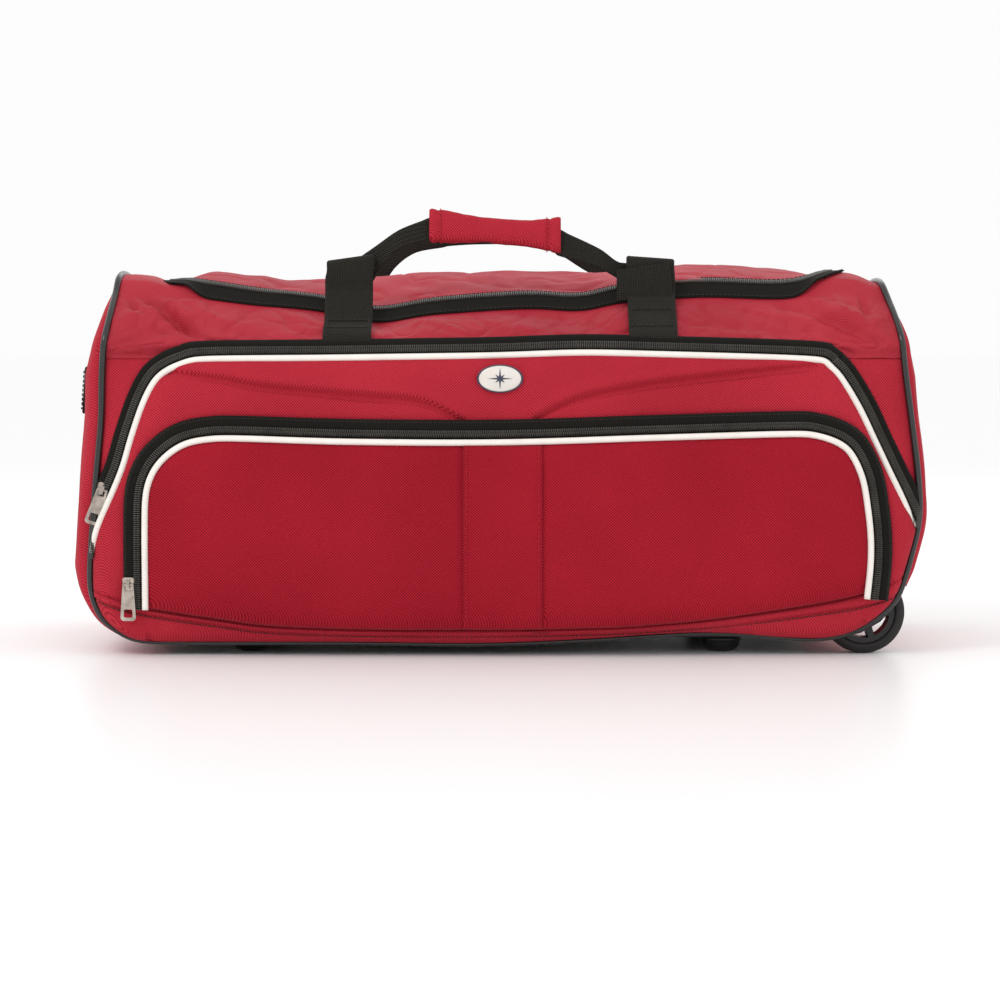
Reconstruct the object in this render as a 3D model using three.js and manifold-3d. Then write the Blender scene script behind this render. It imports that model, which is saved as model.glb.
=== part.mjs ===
// Rolling duffel bag, in millimetres, +Z up.
// X runs along the bag with the wheels at +X, and the pockets face -Y.
import * as THREE from 'three';
import { mergeVertices } from 'three/addons/utils/BufferGeometryUtils.js';
import Module from 'manifold-3d';

const wasm = await Module();
wasm.setup();

// ---- Driving dimensions ----
// Shell
const LENGTH = 650;                // longest side, at the base
const DEPTH = 265;                 // front wall to back panel, without the pockets
const BASE_Z = 10;                 // underside of the base panel
const RIM_Z = 290;                 // flat top round the lid
const SHOULDER_DROP = 38;          // rim to where the front and back begin to lean in
const LEAN = 56;                   // how far each wall leans in by the rim
const TOP_TAPER = 20;              // each end leans in by this at the top
const HEEL_CURVE = 48;             // bottom corner away from the wheels
const WHEEL_CURVE = 84;            // bottom corner over the wheels
const TOP_CURVE = 12;
const FABRIC = 3;                  // padded panel thickness
const BOARD = 2;                   // stiffening boards inside
const BOARD_MARGIN = 3;            // boards stop this far inside the panels
const GAP = 0.3;                   // between touching pieces
// Trim
const PIPING_R = 2.5;
const PIPING_GAP = 0.8;            // a welt's chords cut inside its curve
const PIPING_STEP = 12;            // longest chord of a welt
const TAPE_WIDTH = 13;             // zip tape
const TAPE_THICK = 1.4;
const WEBBING = 38;
const WEBBING_THICK = 2.5;
// Pockets
const OUTER_HINGE_Z = 26;
const INNER_HINGE_Z = 46;
const OUTER_POCKET_DEPTH = 13;
const INNER_POCKET_DEPTH = 10;
const POCKET_SKIN = 2.5;
const OUTER_SIDE_GAP = 2;          // bag's end to the outer zip's tape
const OUTER_TOP_MARGIN = 57;
const OUTER_HEM_MARGIN = 76;       // where the outer pocket's foot turns up
const OUTER_ZIP_Z = 62;            // lower ends of its zip and piping
const OUTER_SHOULDER_Z = 118;      // where the outer pocket's sides begin to slant
const OUTER_TOP_GAP = 0.7;         // seam under the top cloth to the outer zip's tape
const OUTER_FOOT_CURVE = 12;
const OUTER_SHOULDER_CURVE = 30;
const OUTER_CURVE = 40;
const INNER_SIDE_MARGIN = 43;
const INNER_TOP_DROP = 64;         // outer pocket's top to the inner one's
const INNER_CURVE = 45;
const STRIP_WIDTH = 62;            // sewn strip down the middle of the inner pocket
const STRIP_THICK = 1;
const BADGE_WIDTH = 36;
const BADGE_HEIGHT = 22;
const BADGE_DROP = 18;             // outer pocket's top to the badge's middle
const BADGE_THICK = 2;
// Lid
const LID_MARGIN = 65;             // bag's end to the lid's
const LID_CROWN = 16;
// Carry handles
const HANDLE_SPAN = 236;           // between the middles of the two legs
const HANDLE_PIVOT_DROP = 9;       // rim to the pivot
const HANDLE_SETBACK = 35.5;       // bag's face to the handle's pivot
const LEG_RISE = 22;               // pivot to where the legs turn in
const LEG_INNER_DROP = 4;          // the inner edge turns lower than the outer one
const LEG_CURVE = 6;
const GRIP_CURVE = 4;
const ANCHOR_START = 2;            // seam to the foot of the sewn-down webbing
const ANCHOR_END = 4;              // its top to the pivot
const GRIP_RISE = 52;              // pivot to the middle of the grip
const GRIP_LENGTH = 101;
const GRIP_STRAP = 20;             // folded webbing inside the wrap
const WRAP_HEIGHT = 28;
const WRAP_THICK = 14;
const WRAP_CURVE = 6;
const WRAP_INSET = 2;              // grip's end to the wrap's
// End handle
const END_HANDLE_LENGTH = 150;
const END_HANDLE_TAB = 26;
const END_HANDLE_RISE = 24;
const END_HANDLE_DROP = 84;        // rim to its middle
const END_HANDLE_SHAPE = 0.7;      // how square the bow is
// Wheels and feet
const WHEEL_R = 32.6;
const WHEEL_WIDTH = 22;
const WHEEL_INSET = 41;            // bag's end to the axle
const WHEEL_CLEAR = 4;
const WHEEL_SIDE_CLEAR = 1;
const HOUSING_WALL = 2.5;
const TYRE_THICK = 8;
const TYRE_SHOULDER = 3;
const HUB_RECESS = 2;              // tyre's face to the hub's
const HUB_RIM = 4;
const HUB_BOSS = 4.5;
const SPOKES = 5;
const SPOKE_HALF = 2.6;
const AXLE_R = 3.5;
const FOOT_R = 15.5;
const FOOT_FLAT_R = 7;
const FOOT_INSET = 32;             // from the front and back faces
const FOOT_FROM_WHEEL_END = 152;
const FOOT_FROM_HEEL_END = 125;
// Zip sliders and pulls
const SLIDER = { margin: 1.5, height: 11, thick: 4.5, taper: 0.7, footCurve: 1.5, headCurve: 2.5 };
const BRIDGE = { half: 1.3, reach: 4.4, rise: 3.4, wall: 1.3, root: 1, air: 0.4, play: 0.25 };
const PULL = {
  length: 29, endMargin: 0.3, topMargin: 2.25, thick: 1.4, bar: 0.8, window: 4.1, rail: 2.6,
  endCurve: 3.5, topCurve: 0.6,
};
const EYE = { margin: 2.6, topMargin: 3, top: 9, curve: 2, topCurve: 1 };
const OUTER_SLIDER_LIFT = 12;      // the outer slider's height above the shoulder

// ---- Derived places ----
const END_X = LENGTH / 2;
const FRONT_Y = -DEPTH / 2;
const BACK_Y = DEPTH / 2;
const SEAM_Z = RIM_Z - SHOULDER_DROP;
const EDGE = PIPING_R + PIPING_GAP;
const OUTER_SIDE_MARGIN = EDGE + TAPE_WIDTH + OUTER_SIDE_GAP;
const OUTER_TOP_Z = SEAM_Z - OUTER_TOP_GAP - TAPE_WIDTH - EDGE;
const INNER_TOP_Z = OUTER_TOP_Z - INNER_TOP_DROP;
const BADGE_Z = OUTER_TOP_Z - BADGE_DROP;
const HANDLE_PIVOT_Z = RIM_Z - HANDLE_PIVOT_DROP;
const LEG_TOP_Z = HANDLE_PIVOT_Z + LEG_RISE;
const GRIP_Z = HANDLE_PIVOT_Z + GRIP_RISE;
const END_HANDLE_Z = RIM_Z - END_HANDLE_DROP;
const RIM_FRONT = FRONT_Y + LEAN;
const RIM_BACK = BACK_Y - LEAN;
const POCKET_FACE = FRONT_Y - GAP - OUTER_POCKET_DEPTH;
const INNER_FACE = POCKET_FACE - GAP - INNER_POCKET_DEPTH;
const LID_X = END_X - LID_MARGIN;
const WHEEL_X = END_X - WHEEL_INSET;
const LEAN_ANGLE = Math.atan2(RIM_Z - SEAM_Z, LEAN);
const END_SLOPE = Math.atan2(TOP_TAPER, RIM_Z - BASE_Z);
const FAR = 2000;                  // beyond every piece, for cutters

// ---- Colours ----
const paint = (color, roughness, metalness = 0) => ({ color, roughness, metalness });
const PANEL = paint(0xa92d42, 0.75);
const POCKET = paint(0x93192c, 0.8);
const THIN = paint(0xb13a48, 0.55);
const BLACK_TRIM = paint(0x24201e, 0.45);
const WEB = paint(0x2a2825, 0.85);
const WHITE = paint(0xf2ece6, 0.5);
const NICKEL = paint(0xc4aea0, 0.3, 0.9);
const PLASTIC = paint(0x14110f, 0.5);
const TYRE = paint(0x2b2624, 0.8);
const STEEL = paint(0x9c9c9e, 0.35, 0.9);
const BOARD_PAINT = paint(0x3a3836, 0.9);
const ENAMEL = paint(0xe9e4de, 0.3);

// ---- Solids ----
function solid(geometry) {
  geometry.deleteAttribute('normal');
  geometry.deleteAttribute('uv');
  const merged = mergeVertices(geometry, 1e-4);
  return new wasm.Manifold(new wasm.Mesh({
    numProp: 3,
    vertProperties: new Float32Array(merged.attributes.position.array),
    triVerts: new Uint32Array(merged.index.array),
  }));
}

function surface(body) {
  const mesh = body.getMesh();
  const geometry = new THREE.BufferGeometry();
  const places = new Float32Array(mesh.vertProperties);
  geometry.setAttribute('position', new THREE.BufferAttribute(places, 3));
  geometry.setIndex(new THREE.BufferAttribute(new Uint32Array(mesh.triVerts), 1));
  geometry.computeVertexNormals();
  return geometry;
}

// Corners are [x, y, curve]: curve is how far back from the corner the rounding starts.
function roundedOutline(corners) {
  const shape = new THREE.Shape();
  corners.forEach(([x, y, curve = 0], i) => {
    const corner = new THREE.Vector2(x, y);
    const before = new THREE.Vector2(...corners.at(i - 1).slice(0, 2));
    const after = new THREE.Vector2(...corners[(i + 1) % corners.length].slice(0, 2));
    const enter = before.sub(corner).setLength(curve).add(corner);
    const leave = after.sub(corner).setLength(curve).add(corner);
    if (i === 0) shape.moveTo(enter.x, enter.y);
    else shape.lineTo(enter.x, enter.y);
    if (curve > 0) shape.quadraticCurveTo(x, y, leave.x, leave.y);
  });
  shape.closePath();
  const points = shape.getPoints(7);
  if (points[0].distanceTo(points.at(-1)) < 1e-6) points.pop();
  return points;
}

// Moves every side of a counter-clockwise outline outwards.
function grow(points, distance) {
  const count = points.length;
  const normal = (from, to) => new THREE.Vector2(to.y - from.y, from.x - to.x).normalize();
  return points.map((point, i) => {
    const into = normal(points[(i + count - 1) % count], point);
    const out = normal(point, points[(i + 1) % count]);
    const mitre = into.clone().add(out);
    return mitre.multiplyScalar(distance / (1 + into.dot(out))).add(point);
  });
}

const extrude = (points, depth, holes = []) => {
  const shape = new THREE.Shape(points);
  shape.holes = holes.map((hole) => new THREE.Path(hole));
  return new THREE.ExtrudeGeometry(shape, { depth, bevelEnabled: false });
};
// Outline in X and Z, standing from y0 to y1.
const prismY = (points, y0, y1, holes) => extrude(points, y1 - y0, holes)
  .rotateX(Math.PI / 2)
  .translate(0, y1, 0);
// Outline in Y and Z, standing from x0 to x1.
const toX = new THREE.Matrix4().makeBasis(
  new THREE.Vector3(0, 1, 0),
  new THREE.Vector3(0, 0, 1),
  new THREE.Vector3(1, 0, 0),
);
const prismX = (points, x0, x1, holes) => extrude(points, x1 - x0, holes)
  .applyMatrix4(toX)
  .translate(x0, 0, 0);
const block = (x0, x1, y0, y1, z0, z1) => solid(
  new THREE.BoxGeometry(x1 - x0, y1 - y0, z1 - z0)
    .translate((x0 + x1) / 2, (y0 + y1) / 2, (z0 + z1) / 2),
);
const rodY = (x, z, r, y0, y1) => solid(
  new THREE.CylinderGeometry(r, r, y1 - y0, 36).translate(x, (y0 + y1) / 2, z),
);
const points2 = (...pairs) => pairs.map(([x, y]) => new THREE.Vector2(x, y));
const mirrorX = (corners) => [
  ...corners,
  ...corners.map(([x, z, curve]) => [-x, z, curve]).reverse(),
];

// A round welt along a chain of points.
function piping(path, radius) {
  const section = new THREE.Shape();
  section.absarc(0, 0, radius, 0, Math.PI * 2);
  const chain = new THREE.CurvePath();
  path.slice(1).forEach((point, i) => chain.add(new THREE.LineCurve3(path[i], point)));
  const steps = Math.ceil(chain.getLength() / PIPING_STEP);
  return new THREE.ExtrudeGeometry(section, {
    steps, curveSegments: 3, extrudePath: chain, bevelEnabled: false,
  });
}

// ---- Scene helpers ----
const bag = new THREE.Group();

function place(name, shape, finish, parent = bag) {
  const geometry = shape.isBufferGeometry ? shape : surface(shape);
  const mesh = new THREE.Mesh(geometry, new THREE.MeshStandardMaterial(finish));
  mesh.name = name;
  parent.add(mesh);
  return mesh;
}

// ---- Shell: fabric panels ----
const outline = roundedOutline([
  [-END_X, BASE_Z, HEEL_CURVE],
  [END_X, BASE_Z, WHEEL_CURVE],
  [END_X - TOP_TAPER, RIM_Z, TOP_CURVE],
  [-END_X + TOP_TAPER, RIM_Z, TOP_CURVE],
]);
const profile = (bottom) => points2(
  [FRONT_Y, bottom],
  [BACK_Y, bottom],
  [BACK_Y, SEAM_Z],
  [RIM_BACK, RIM_Z],
  [RIM_FRONT, RIM_Z],
  [FRONT_Y, SEAM_Z],
);
const across = (points) => solid(prismY(points, -FAR, FAR));
const along = (points) => solid(prismX(points, -FAR, FAR));
const outerEnds = across(outline);
const outerProfile = along(profile(BASE_Z - FABRIC));
const innerProfile = (inset) => along(grow(profile(-FAR), -inset));
// Front, top and back cloth, and the band that runs round the ends and base between them.
const sheets = outerProfile.subtract(innerProfile(FABRIC)).intersect(outerEnds);
const band = outerEnds
  .subtract(across(grow(outline, -FABRIC)))
  .intersect(innerProfile(FABRIC + GAP));
const lining = across(grow(outline, -FABRIC - GAP))
  .subtract(across(grow(outline, -FABRIC - GAP - BOARD)))
  .intersect(innerProfile(FABRIC + 2 * GAP));

const half = GAP / 2;
const below = (z) => block(-FAR, FAR, -FAR, FAR, -FAR, z - half);
const above = (z) => block(-FAR, FAR, -FAR, FAR, z + half, FAR);
const inFront = (y) => block(-FAR, FAR, -FAR, y - half, -FAR, FAR);
const behind = (y) => block(-FAR, FAR, y + half, FAR, -FAR, FAR);
const leftOf = (x) => block(-FAR, x - half, -FAR, FAR, -FAR, FAR);
const rightOf = (x) => block(x + half, FAR, -FAR, FAR, -FAR, FAR);

// The zip runs round three sides of the lid: front and both ends.
const TAPE_X = LID_X + TAPE_WIDTH;
const tapeRing = (spare) => {
  const ringX = TAPE_X + spare;
  const ringFront = RIM_FRONT - TAPE_WIDTH - spare;
  return block(-ringX, ringX, ringFront, RIM_BACK - half, SEAM_Z, FAR)
    .subtract(block(-LID_X - half, LID_X + half, RIM_FRONT - half, FAR, -FAR, FAR));
};
const rim = sheets.subtract(tapeRing(GAP));
const betweenTapes = block(-TAPE_X - GAP, TAPE_X + GAP, -FAR, FAR, -FAR, FAR);

place('front_wall', rim.intersect(inFront(0)).intersect(below(SEAM_Z)), PANEL);
place('back_panel', rim.intersect(behind(0)).intersect(below(SEAM_Z)), PANEL);
place('top_front_panel', rim.intersect(inFront(RIM_FRONT)).intersect(above(SEAM_Z)), THIN);
place('top_back_panel', rim.intersect(behind(RIM_BACK)).intersect(above(SEAM_Z)), THIN);
const topEnds = sheets
  .subtract(betweenTapes)
  .intersect(behind(RIM_FRONT))
  .intersect(inFront(RIM_BACK))
  .intersect(above(SEAM_Z));
place('top_left_panel', topEnds.intersect(leftOf(0)), THIN);
place('top_right_panel', topEnds.intersect(rightOf(0)), THIN);
place('main_zip_tape', sheets.intersect(tapeRing(0)).intersect(above(SEAM_Z)), BLACK_TRIM);

// ---- Wheels: two at the +X end, on axles across the bag ----
const housingWidth = WHEEL_WIDTH + 2 * HOUSING_WALL + 2 * WHEEL_SIDE_CLEAR;
const housingR = WHEEL_R + WHEEL_CLEAR + HOUSING_WALL;
const wheelSides = [
  { side: 'front', y0: FRONT_Y + FABRIC + GAP },
  { side: 'back', y0: BACK_Y - FABRIC - GAP - housingWidth },
];
let walls = band;
let boards = lining;
for (const { y0 } of wheelSides) {
  const recess = rodY(WHEEL_X, WHEEL_R, housingR + GAP, y0 - GAP, y0 + housingWidth + GAP);
  walls = walls.subtract(recess);
  boards = boards.subtract(recess);
}
const heelX = -END_X + HEEL_CURVE;
const wheelEndX = END_X - WHEEL_CURVE;
place('left_end_panel', walls.intersect(leftOf(heelX)), PANEL);
place('right_end_panel', walls.intersect(rightOf(wheelEndX)), PANEL);
place('base_panel', walls.intersect(rightOf(heelX)).intersect(leftOf(wheelEndX)), BLACK_TRIM);
const boardBetween = (x0, x1, inset) => boards
  .intersect(block(x0, x1, FRONT_Y + inset, BACK_Y - inset, 0, SEAM_Z / 2));
const insideWalls = FABRIC + BOARD_MARGIN;
const insideHousings = insideWalls + housingWidth;
place('base_board', boardBetween(heelX, wheelEndX - BOARD_MARGIN, insideWalls), BOARD_PAINT);
place('wheel_end_board', boardBetween(wheelEndX, FAR, insideHousings), BOARD_PAINT);

const hubR = WHEEL_R - TYRE_THICK - GAP;
function hubOutline() {
  const rimInner = hubR - HUB_RIM;
  const bossR = AXLE_R + HUB_BOSS;
  const holes = [circle(AXLE_R + GAP, 18)];
  for (let i = 0; i < SPOKES; i += 1) {
    const middle = ((i + 0.5) / SPOKES) * Math.PI * 2;
    const sweep = (radius) => Math.PI / SPOKES - Math.asin(SPOKE_HALF / radius);
    const arc = (radius, from, to) => [0, 0.25, 0.5, 0.75, 1].map((t) => {
      const angle = middle + from + (to - from) * t;
      return new THREE.Vector2(radius * Math.cos(angle), radius * Math.sin(angle));
    });
    holes.push([
      ...arc(rimInner, -sweep(rimInner), sweep(rimInner)),
      ...arc(bossR, sweep(bossR), -sweep(bossR)),
    ]);
  }
  return { rim: circle(hubR, 36), holes };
}
function circle(radius, count) {
  return Array.from({ length: count }, (_, i) => {
    const angle = (i / count) * Math.PI * 2;
    return new THREE.Vector2(radius * Math.cos(angle), radius * Math.sin(angle));
  });
}

for (const { side, y0 } of wheelSides) {
  const y1 = y0 + housingWidth;
  const middle = (y0 + y1) / 2;
  const housing = rodY(WHEEL_X, WHEEL_R, housingR, y0, y1)
    .intersect(across(grow(outline, -GAP)))
    .subtract(rodY(WHEEL_X, WHEEL_R, housingR - HOUSING_WALL, y0 + HOUSING_WALL, y1 - HOUSING_WALL))
    .subtract(rodY(WHEEL_X, WHEEL_R, AXLE_R + GAP, y0 - GAP, y1 + GAP));
  place(`wheel_housing_${side}`, housing, PLASTIC);
  place(`axle_${side}`, rodY(WHEEL_X, WHEEL_R, AXLE_R, y0 + half, y1 - half), STEEL);

  const wheel = new THREE.Group();
  wheel.position.set(WHEEL_X, middle, WHEEL_R);
  bag.add(wheel);
  const tread = WHEEL_WIDTH / 2;
  const tyre = points2(
    [WHEEL_R - TYRE_THICK, -tread],
    [WHEEL_R - TYRE_SHOULDER, -tread],
    [WHEEL_R, -tread + TYRE_SHOULDER],
    [WHEEL_R, tread - TYRE_SHOULDER],
    [WHEEL_R - TYRE_SHOULDER, tread],
    [WHEEL_R - TYRE_THICK, tread],
    [WHEEL_R - TYRE_THICK, -tread],
  );
  place(`tyre_${side}`, new THREE.LatheGeometry(tyre, 40), TYRE, wheel);
  const hub = hubOutline();
  const hubHalf = tread - HUB_RECESS;
  place(`hub_${side}`, prismY(hub.rim, -hubHalf, hubHalf, hub.holes), PLASTIC, wheel);
}

// ---- Feet under the base ----
const footTop = BASE_Z - GAP;
const footProfile = points2(
  [0, 0],
  [FOOT_FLAT_R, 0],
  [FOOT_R * 0.75, footTop * 0.18],
  [FOOT_R * 0.93, footTop * 0.5],
  [FOOT_R, footTop],
  [0, footTop],
);
const footXs = { left: -END_X + FOOT_FROM_HEEL_END, right: END_X - FOOT_FROM_WHEEL_END };
for (const [end, x] of Object.entries(footXs)) {
  for (const [side, y] of [['front', FRONT_Y + FOOT_INSET], ['back', BACK_Y - FOOT_INSET]]) {
    const foot = new THREE.LatheGeometry(footProfile, 20).rotateX(Math.PI / 2);
    place(`foot_${end}_${side}`, foot, PLASTIC).position.set(x, y, 0);
  }
}

// ---- Edge piping ----
// It stands outside the outline, so a height gives its place front to back.
const weltLine = grow(outline, EDGE);
const leanAt = (z) => THREE.MathUtils.clamp((z - SEAM_Z) / (RIM_Z - SEAM_Z), 0, 1) * LEAN;
// The points of a closed line that lie above or below a height, in order along it.
function stretch(line, keeps) {
  const start = line.findIndex((point, i) => keeps(point) && !keeps(line.at(i - 1)));
  const turned = line.map((_, i) => line[(start + i) % line.length]);
  return turned.filter(keeps);
}
const welt = stretch(weltLine, (point) => point.y < RIM_Z - TOP_CURVE / 2);
const atSeam = (low, top) => low.clone().lerp(top, (SEAM_Z - low.y) / (top.y - low.y));
const seamEnd = welt.findIndex((point) => point.y < SEAM_Z);
const seamStart = welt.findLastIndex((point) => point.y < SEAM_Z);
const weltPath = [
  ...welt.slice(0, seamEnd),
  atSeam(welt[seamEnd], welt[seamEnd - 1]),
  ...welt.slice(seamEnd, seamStart + 1),
  atSeam(welt[seamStart], welt[seamStart + 1]),
  ...welt.slice(seamStart + 1),
];
for (const [side, y, inward] of [['front', FRONT_Y, 1], ['back', BACK_Y, -1]]) {
  const path = weltPath.map((point) => new THREE.Vector3(point.x, y + inward * leanAt(point.y), point.y));
  place(`${side}_piping`, piping(path, PIPING_R), BLACK_TRIM);
}
const cornerX = END_X - TOP_TAPER - TOP_CURVE * 0.25 + EDGE;
const cornerZ = RIM_Z + PIPING_GAP;
for (const [end, side] of [['left', -1], ['right', 1]]) {
  const runs = [RIM_FRONT + PIPING_R, RIM_BACK - PIPING_R]
    .map((y) => new THREE.Vector3(side * cornerX, y, cornerZ));
  place(`top_${end}_piping`, piping(runs, PIPING_R), BLACK_TRIM);
}

// ---- Lid: a shallow arched cover, open underneath ----
const arch = (inset, bottom) => {
  const shape = new THREE.Shape();
  const from = RIM_FRONT + GAP + inset;
  const to = RIM_BACK - GAP - inset;
  shape.moveTo(from, bottom);
  shape.lineTo(from, RIM_Z - inset);
  shape.quadraticCurveTo((from + to) / 2, RIM_Z - inset + 2 * LID_CROWN, to, RIM_Z - inset);
  shape.lineTo(to, bottom);
  return shape.getPoints(12);
};
const lid = solid(prismX(arch(0, RIM_Z - FABRIC), -LID_X + half, LID_X - half))
  .subtract(solid(prismX(arch(FABRIC, RIM_Z - 2 * FABRIC), -LID_X + FABRIC, LID_X - FABRIC)));
place('lid_panel', lid, THIN);

// ---- Carry handles ----
const LEG_X = HANDLE_SPAN / 2;
const webHalf = WEBBING / 2;
const legOut = LEG_X + webHalf;
const legIn = LEG_X - webHalf;
const gripX = GRIP_LENGTH / 2;
const handleOutline = roundedOutline(mirrorX([
  [legOut, HANDLE_PIVOT_Z + GAP],
  [legOut, LEG_TOP_Z, LEG_CURVE],
  [gripX, GRIP_Z + GRIP_STRAP / 2, GRIP_CURVE],
]).concat(mirrorX([
  [-legIn, HANDLE_PIVOT_Z + GAP],
  [-legIn, LEG_TOP_Z - LEG_INNER_DROP, LEG_CURVE],
  [-gripX, GRIP_Z - GRIP_STRAP / 2, GRIP_CURVE],
])));
for (const [side, face, inward] of [['front', FRONT_Y, 1], ['back', BACK_Y, -1]]) {
  const y = face + inward * HANDLE_SETBACK;
  const thick = WEBBING_THICK / 2;
  place(`${side}_handle_webbing`, prismY(handleOutline, y - thick, y + thick), WEB);
  // The webbing sewn down on the leaning cloth, one length under each leg.
  const reach = (distance, lift) => {
    const upSlope = new THREE.Vector2(inward * Math.cos(LEAN_ANGLE), Math.sin(LEAN_ANGLE));
    const off = new THREE.Vector2(-inward * Math.sin(LEAN_ANGLE), Math.cos(LEAN_ANGLE));
    return new THREE.Vector2(face, SEAM_Z)
      .addScaledVector(upSlope, distance)
      .addScaledVector(off, lift);
  };
  const sewn = (HANDLE_SETBACK - ANCHOR_END) / Math.cos(LEAN_ANGLE);
  const strip = [
    reach(ANCHOR_START, GAP),
    reach(sewn, GAP),
    reach(sewn, GAP + WEBBING_THICK),
    reach(ANCHOR_START, GAP + WEBBING_THICK),
  ];
  for (const [end, x] of [['left', -LEG_X], ['right', LEG_X]]) {
    place(`${side}_${end}_anchor`, prismX(strip, x - webHalf, x + webHalf), WEB);
  }
}
const wrapY = FRONT_Y + HANDLE_SETBACK;
const ringAt = (y, z, width, height, curve) => roundedOutline([
  [y - width / 2, z - height / 2, curve],
  [y + width / 2, z - height / 2, curve],
  [y + width / 2, z + height / 2, curve],
  [y - width / 2, z + height / 2, curve],
]);
place(
  'handle_wrap',
  prismX(
    ringAt(wrapY, GRIP_Z, WRAP_THICK, WRAP_HEIGHT, WRAP_CURVE),
    -gripX + WRAP_INSET,
    gripX - WRAP_INSET,
    [ringAt(wrapY, GRIP_Z, WEBBING_THICK + 2 * GAP, GRIP_STRAP + 2 * GAP, 0.2)],
  ),
  PANEL,
);

// ---- End handle: a bowed strap across the end away from the wheels ----
const endHandle = new THREE.Shape();
const strapHalf = END_HANDLE_LENGTH / 2;
const tabEnd = strapHalf - END_HANDLE_TAB;
endHandle.moveTo(0, -strapHalf);
endHandle.lineTo(0, -tabEnd);
const bowEnd = tabEnd * END_HANDLE_SHAPE;
endHandle.bezierCurveTo(-END_HANDLE_RISE, -bowEnd, -END_HANDLE_RISE, bowEnd, 0, tabEnd);
endHandle.lineTo(0, strapHalf);
endHandle.lineTo(-WEBBING_THICK, strapHalf);
endHandle.lineTo(-WEBBING_THICK, tabEnd - 1);
endHandle.bezierCurveTo(
  -END_HANDLE_RISE - WEBBING_THICK, bowEnd,
  -END_HANDLE_RISE - WEBBING_THICK, -bowEnd,
  -WEBBING_THICK, -tabEnd + 1,
);
endHandle.lineTo(-WEBBING_THICK, -strapHalf);
endHandle.closePath();
const endHandleMesh = place(
  'end_handle',
  new THREE.ExtrudeGeometry(endHandle, { depth: WEBBING, curveSegments: 14, bevelEnabled: false })
    .translate(-GAP, 0, -WEBBING / 2),
  WEB,
);
endHandleMesh.rotation.y = END_SLOPE;
endHandleMesh.position.set(-END_X + (END_HANDLE_Z - BASE_Z) * Math.tan(END_SLOPE), 0, END_HANDLE_Z);

// ---- Pockets ----
// Each is a tray, open towards the bag, hinged at its foot and edged with piping.
const outerLine = roundedOutline(mirrorX([
  [END_X - OUTER_HEM_MARGIN, OUTER_HINGE_Z],
  [END_X - OUTER_SIDE_MARGIN, OUTER_ZIP_Z, OUTER_FOOT_CURVE],
  [END_X - OUTER_SIDE_MARGIN, OUTER_SHOULDER_Z, OUTER_SHOULDER_CURVE],
  [END_X - OUTER_TOP_MARGIN, OUTER_TOP_Z, OUTER_CURVE],
]));
const innerLine = roundedOutline(mirrorX([
  [END_X - INNER_SIDE_MARGIN, INNER_HINGE_Z],
  [END_X - INNER_SIDE_MARGIN, INNER_TOP_Z, INNER_CURVE],
]));

function pocket(name, line, back, depth, zipFoot, finish) {
  const inside = grow(line, -EDGE);
  const front = back - depth;
  const tray = solid(prismY(inside, front, back))
    .subtract(solid(prismY(grow(inside, -POCKET_SKIN), front + POCKET_SKIN, back + GAP)));
  place(`${name}_panel`, tray, finish);
  const run = stretch(line, (point) => point.y > zipFoot + EDGE);
  const foot = (point) => new THREE.Vector2(point.x, zipFoot + EDGE);
  const path = [foot(run[0]), ...run, foot(run.at(-1))]
    .map((point) => new THREE.Vector3(point.x, front + PIPING_R, point.y));
  place(`${name}_piping`, piping(path, PIPING_R), WHITE);
}

function zipTape(name, line, back, zipFoot, limit) {
  const tape = solid(prismY(grow(line, EDGE + TAPE_WIDTH), back - TAPE_THICK, back))
    .subtract(across(grow(line, EDGE)))
    .intersect(above(zipFoot))
    .intersect(limit);
  place(name, tape, BLACK_TRIM);
}

const onWall = FRONT_Y - GAP;
const onPocket = POCKET_FACE - GAP;
pocket('outer_pocket', outerLine, onWall, OUTER_POCKET_DEPTH, OUTER_ZIP_Z, PANEL);
pocket('inner_pocket', innerLine, onPocket, INNER_POCKET_DEPTH, INNER_HINGE_Z, POCKET);
zipTape('outer_zip_tape', outerLine, onWall, OUTER_ZIP_Z, across(grow(outline, -GAP)));
zipTape('inner_zip_tape', innerLine, onPocket, INNER_HINGE_Z, across(grow(outerLine, -EDGE - GAP)));
place(
  'pocket_base',
  solid(prismY(grow(outline, -1), POCKET_FACE, onWall)).intersect(below(OUTER_HINGE_Z)),
  PANEL,
);
place(
  'centre_strip',
  block(
    -STRIP_WIDTH / 2, STRIP_WIDTH / 2,
    INNER_FACE - GAP - STRIP_THICK, INNER_FACE - GAP,
    INNER_HINGE_Z + EDGE + GAP, INNER_TOP_Z - EDGE,
  ),
  POCKET,
);
const badge = new THREE.Shape();
badge.absellipse(0, BADGE_Z, BADGE_WIDTH / 2, BADGE_HEIGHT / 2, 0, Math.PI * 2);
place('badge', prismY(badge.getPoints(14).slice(0, -1), onPocket - BADGE_THICK, onPocket), ENAMEL);

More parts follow.
